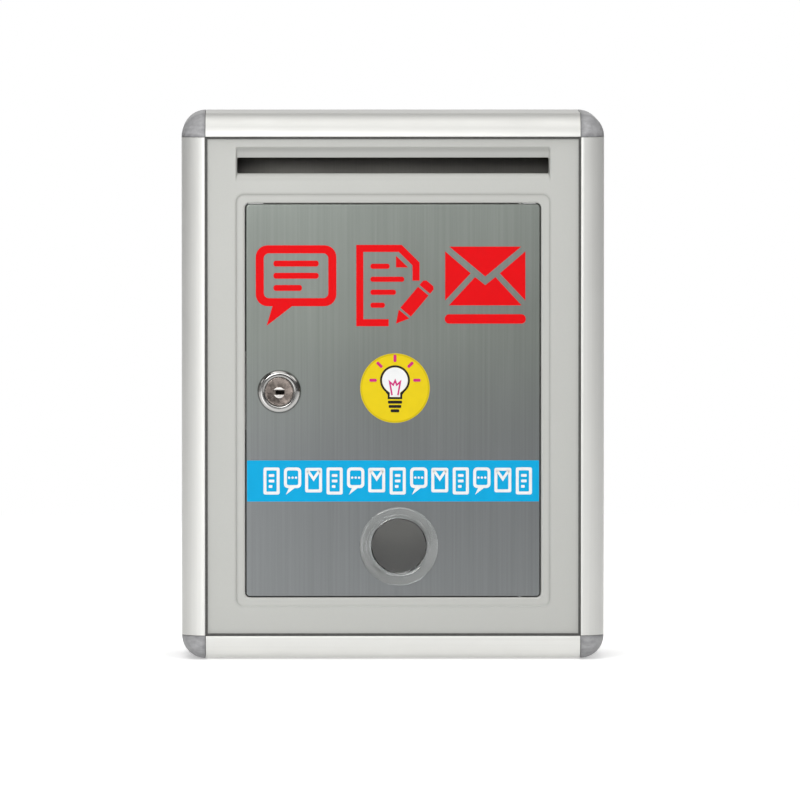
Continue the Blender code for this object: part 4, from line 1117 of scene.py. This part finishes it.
def note_groups():
    """A sheet with a folded corner, and a pencil writing on it."""
    edge = [(11.4, 2.5), (11.4, 11), (3.4, 18.9), (-17.2, 18.9), (-17.2, -18.9), (-2.5, -18.9)]
    fold = [(1.2, 15.2), (1.2, 9.2), (7.4, 9.2)]
    groups = [[stroke(edge, 3.6)], [fold]]
    groups += bars(-11.8, 1.3, 1.1, 3, (9.8, -2), (3.2, 5.4), (-3.4, 1.2), (-10, -4.4))
    pencil = (
        [(0, 0), (6.4, -3.5), (6.4, 3.5)],
        [(7.6, -3.5), (21.6, -3.5), (21.6, 3.5), (7.6, 3.5)],
        [(22.8, -3.5), (25.6, -3.5), (26.8, -2.3), (26.8, 2.3), (25.6, 3.5), (22.8, 3.5)],
    )
    for outline in pencil:
        groups.append([shifted(outline, 1.2, -19.4, 50)])
    return groups


def envelope_groups():
    """An envelope over the slot that it drops into."""
    return [
        [[(-18.3, 19.8), (0, 4.6), (18.3, 19.8)]],
        [[(-20.4, 17.4), (-20.4, -7.6), (-7.4, 6.2)]],
        [[(20.4, 17.4), (7.4, 6.2), (20.4, -7.6)]],
        [[(-18.5, -10.1), (18.5, -10.1), (5.2, 4.3), (0, 0.2), (-5.2, 4.3)]],
        [rounded_rectangle(-20.6, 20.6, -19.4, -14.6, 2.2, 4)],
    ]


def make_figures():
    """The row of three red figures at the top of the door."""
    for name, groups, x in (
        ("print_bubble", bubble_groups(), -49.3 * MM),
        ("print_note", note_groups(), 0.3 * MM),
        ("print_envelope", envelope_groups(), 46.9 * MM),
    ):
        add_print(name, groups, INKS["red"], x, FIGURES_Z)


def bulb_outline(radius, neck, foot):
    """A light bulb's glass, counter-clockwise from its foot."""
    glass = arc((0, BULB_RISE), radius, -50, 230, 40)
    return [(-neck, foot), (neck, foot), (neck, foot + 2.2)] + glass + [(-neck, foot + 2.2)]


def make_disc():
    """A yellow disc with a shining light bulb, its glass on the outline and its filament on top."""
    rim = [circle(0, 0, 17.5), circle(0, 0, 16.8)]
    black = [[bulb_outline(7.6, 3.7, -5.6), bulb_outline(6.6, 2.7, -4.6)]]
    for low, half in ((-7.9, 3.6), (-10.1, 3.2), (-12.3, 2.2)):
        black.append([rounded_rectangle(-half, half, low, low + 1.5, 0.5, 3)])
    wire = [(-1.5, -3.6), (-2.7, 3.2), (-0.9, 1.6), (0.1, 3.8), (0.9, 1.6), (2.7, 3.2), (1.5, -3.6)]
    pink = [[stroke(wire, 0.8)]]
    for degrees in (0, 45, 90, 135, 180):
        ray = rounded_rectangle(9.3, 13, -0.75, 0.75, 0.5, 3)
        pink.append([shifted(ray, 0, BULB_RISE, degrees)])
    for name, groups, finish, layer in (
        ("disc_yellow", [[circle(0, 0, 17.7)]], INKS["yellow"], 1),
        ("disc_rim", [rim], INKS["amber"], 2),
        ("bulb_black", black, INKS["black"], 2),
        ("bulb_white", [[bulb_outline(6.5, 2.6, -4.5)]], INKS["white"], 2),
        ("bulb_pink", pink, INKS["pink"], 3),
    ):
        add_print(name, groups, finish, DISC_X, DISC_Z, layer)


def small_signs():
    """A sheet, a speech bubble and an envelope, each as groups of outlines."""
    border = rounded_rectangle(-4.1, 4.1, -6.9, 6.9, 0.9, 3)
    sheet = [[border, rounded_rectangle(-2.6, 2.6, -5.4, 5.4, 0.3, 3)]]
    sheet += bars(-1.4, 0.7, 0.3, 2, (2.8, 1.4), (0, 1.4), (-2.8, 0.4))
    border = rounded_rectangle(-4.4, 4.4, -3.6, 6.9, 2, 4)
    border += [(-1.9, -3.6), (-3.4, -7), (1, -3.6)]
    bubble = [[border, rounded_rectangle(-2.9, 2.9, -2.1, 5.4, 0.9, 4)]]
    for across in (-1.75, 0, 1.75):
        bubble.append([circle(across, 1.7, 0.6, 16)])
    border = rounded_rectangle(-4.3, 4.3, -5.8, 6.7, 0.9, 3)
    envelope = [[border, rounded_rectangle(-2.8, 2.8, -4.3, 5.2, 0.3, 3)]]
    envelope.append([stroke([(-2.9, 5.2), (0, 1), (2.9, 5.2)], 1.35)])
    return sheet, bubble, envelope


def make_band():
    """The blue band across the door, with a row of small signs."""
    half_width = (DOOR_HALF[0] - DOOR_BEND) / MM
    band = rounded_rectangle(-half_width, half_width, -BAND_HALF, BAND_HALF, 0.4, 2)
    add_print("band_blue", [[band]], INKS["blue"], DOOR_X, BAND_Z)
    signs = small_signs()
    groups = []
    for number in range(BAND_SIGNS):
        along = (number - (BAND_SIGNS - 1) / 2) * SIGN_PITCH
        for outlines in signs[number % len(signs)]:
            groups.append([shifted(outline, along, 0) for outline in outlines])
    add_print("band_marks", groups, INKS["white"], DOOR_X + SIGN_SHIFT, BAND_Z, 2)


# Floor, light and camera


def background_seen(tree):
    """1 for the rays that show the background: the camera's, reflected ones and those let through."""
    path = add_node(tree, "ShaderNodeLightPath").outputs
    seen = calculated(tree, "MAXIMUM", path["Is Camera Ray"], path["Is Glossy Ray"])
    return calculated(tree, "MAXIMUM", seen, path["Is Transmission Ray"])


def show_mix(tree, share, first, second, output):
    """Shows the first shader node, or the second by its share."""
    node = add_node(tree, "ShaderNodeMixShader")
    for socket, source in zip(node.inputs, (share, first.outputs[0], second.outputs[0])):
        tree.links.new(source, socket)
    tree.links.new(node.outputs["Shader"], tree.nodes[output].inputs["Surface"])


def floor_paper():
    """Matt pale paper, lifted to white where the background is seen, and lifted less near the box as
    painted shade.
    """
    made, tree, shader = new_material("floor_paper")
    fibre = noise(tree, 2 * MM, detail=4)
    tree.links.new(varied(tree, fibre, FLOOR_WHITE, 0.985), shader.inputs["Base Color"])
    shader.inputs["Roughness"].default_value = 0.9
    bumped(tree, shader, fibre, 0.01 * MM)
    seen = background_seen(tree)
    away = length_of(tree, vector_sums(tree, object_point(tree), ("MULTIPLY", FLOOR_FOOTPRINT)))
    # Painted shade: the lift to white is halved next to the box
    clear_of_box = spread(tree, away, FLOOR_LIFT / 2, FLOOR_LIFT, *FLOOR_PAINTED_SHADE)
    glow = add_node(tree, "ShaderNodeEmission")
    tree.links.new(calculated(tree, "MULTIPLY", seen, clear_of_box), glow.inputs["Strength"])
    lifted = add_node(tree, "ShaderNodeAddShader")
    tree.links.new(shader.outputs["BSDF"], lifted.inputs[0])
    tree.links.new(glow.outputs["Emission"], lifted.inputs[1])
    white = add_node(tree, "ShaderNodeEmission")
    far = calculated(tree, "MULTIPLY", seen, spread(tree, away, 0, 1, *FLOOR_FADE))
    show_mix(tree, far, lifted, white, "Material Output")
    return made


def make_floor():
    """A wide floor just under the box."""
    work = bmesh.new()
    bmesh.ops.create_grid(work, x_segments=8, y_segments=8, size=FLOOR_HALF)
    floor = linked("floor", mesh_of(work, "floor"))
    floor.location = (0, 0, -FLOOR_DROP)
    floor.data.materials.append(floor_paper())


def direction_share(tree, ray, direction, inner, outer):
    """1 within an angle of a direction, falling to 0 at a wider one, in degrees."""
    dot = add_node(tree, "ShaderNodeVectorMath", operation="DOT_PRODUCT")
    tree.links.new(ray, dot.inputs[0])
    dot.inputs[1].default_value = Vector(direction).normalized()
    node = add_node(tree, "ShaderNodeMapRange", interpolation_type="SMOOTHSTEP")
    node.inputs["From Min"].default_value = math.cos(math.radians(outer))
    node.inputs["From Max"].default_value = math.cos(math.radians(inner))
    tree.links.new(dot.outputs["Value"], node.inputs["Value"])
    return node.outputs["Result"]


def make_world():
    """White for the camera and behind the box, and for the light a dim studio with soft patches."""
    world = bpy.data.worlds.new("studio")
    bpy.context.scene.world = world
    world.use_nodes = True
    tree = world.node_tree
    ray = add_node(tree, "ShaderNodeTexCoord").outputs["Generated"]
    level = STUDIO_LEVEL
    for direction, inner, outer, strength in STUDIO:
        share = direction_share(tree, ray, direction, inner, outer)
        level = calculated(tree, "MULTIPLY_ADD", share, strength, level)
    studio = tree.nodes["Background"]
    studio.inputs["Color"].default_value = STUDIO_TINT
    tree.links.new(level, studio.inputs["Strength"])
    white = add_node(tree, "ShaderNodeBackground")
    white.inputs["Color"].default_value = (1, 1, 1, 1)
    backdrop = direction_share(tree, ray, (0, 1, 0), *BACKDROP_ANGLES)
    reflected = calculated(tree, "MULTIPLY", background_seen(tree), backdrop)
    to_camera = add_node(tree, "ShaderNodeLightPath").outputs["Is Camera Ray"]
    white_share = calculated(tree, "MAXIMUM", to_camera, reflected)
    show_mix(tree, white_share, studio, white, "World Output")


def facing(direction):
    """The turn of a lamp or a camera that points in a direction."""
    return direction.to_track_quat("-Z", "Y").to_euler()


def make_lamps():
    """Soft square lamps in front of the box, the strongest above and to the left."""
    for name, place, side, power in LAMPS:
        data = bpy.data.lights.new(name, "AREA")
        data.shape = "SQUARE"
        data.size = side
        data.energy = power
        lamp = linked(name, data)
        lamp.location = place
        lamp.rotation_euler = facing(LAMP_TARGET - Vector(place))


def make_camera():
    """A distant camera, almost level, that sees the photograph's width at the box."""
    data = bpy.data.cameras.new("camera")
    data.sensor_width = SENSOR_WIDTH
    data.lens = SENSOR_WIDTH * CAMERA_DISTANCE / VIEW_WIDTH
    data.clip_end = CAMERA_REACH
    camera = linked("camera", data)
    level = math.cos(CAMERA_ELEVATION)
    x, y = -level * math.sin(CAMERA_TURN), -level * math.cos(CAMERA_TURN)
    back = Vector((x, y, math.sin(CAMERA_ELEVATION)))
    camera.location = CAMERA_TARGET + back * CAMERA_DISTANCE
    camera.rotation_euler = facing(-back)
    bpy.context.scene.camera = camera


def main():
    bpy.context.scene.view_settings.view_transform = "Standard"
    dress_nodes()
    make_door()
    make_lock_body()
    make_plug()
    make_key_guide()
    make_frame_screws()
    make_cam_screw()
    make_window()
    make_figures()
    make_disc()
    make_band()
    make_floor()
    make_world()
    make_lamps()
    make_camera()


main()
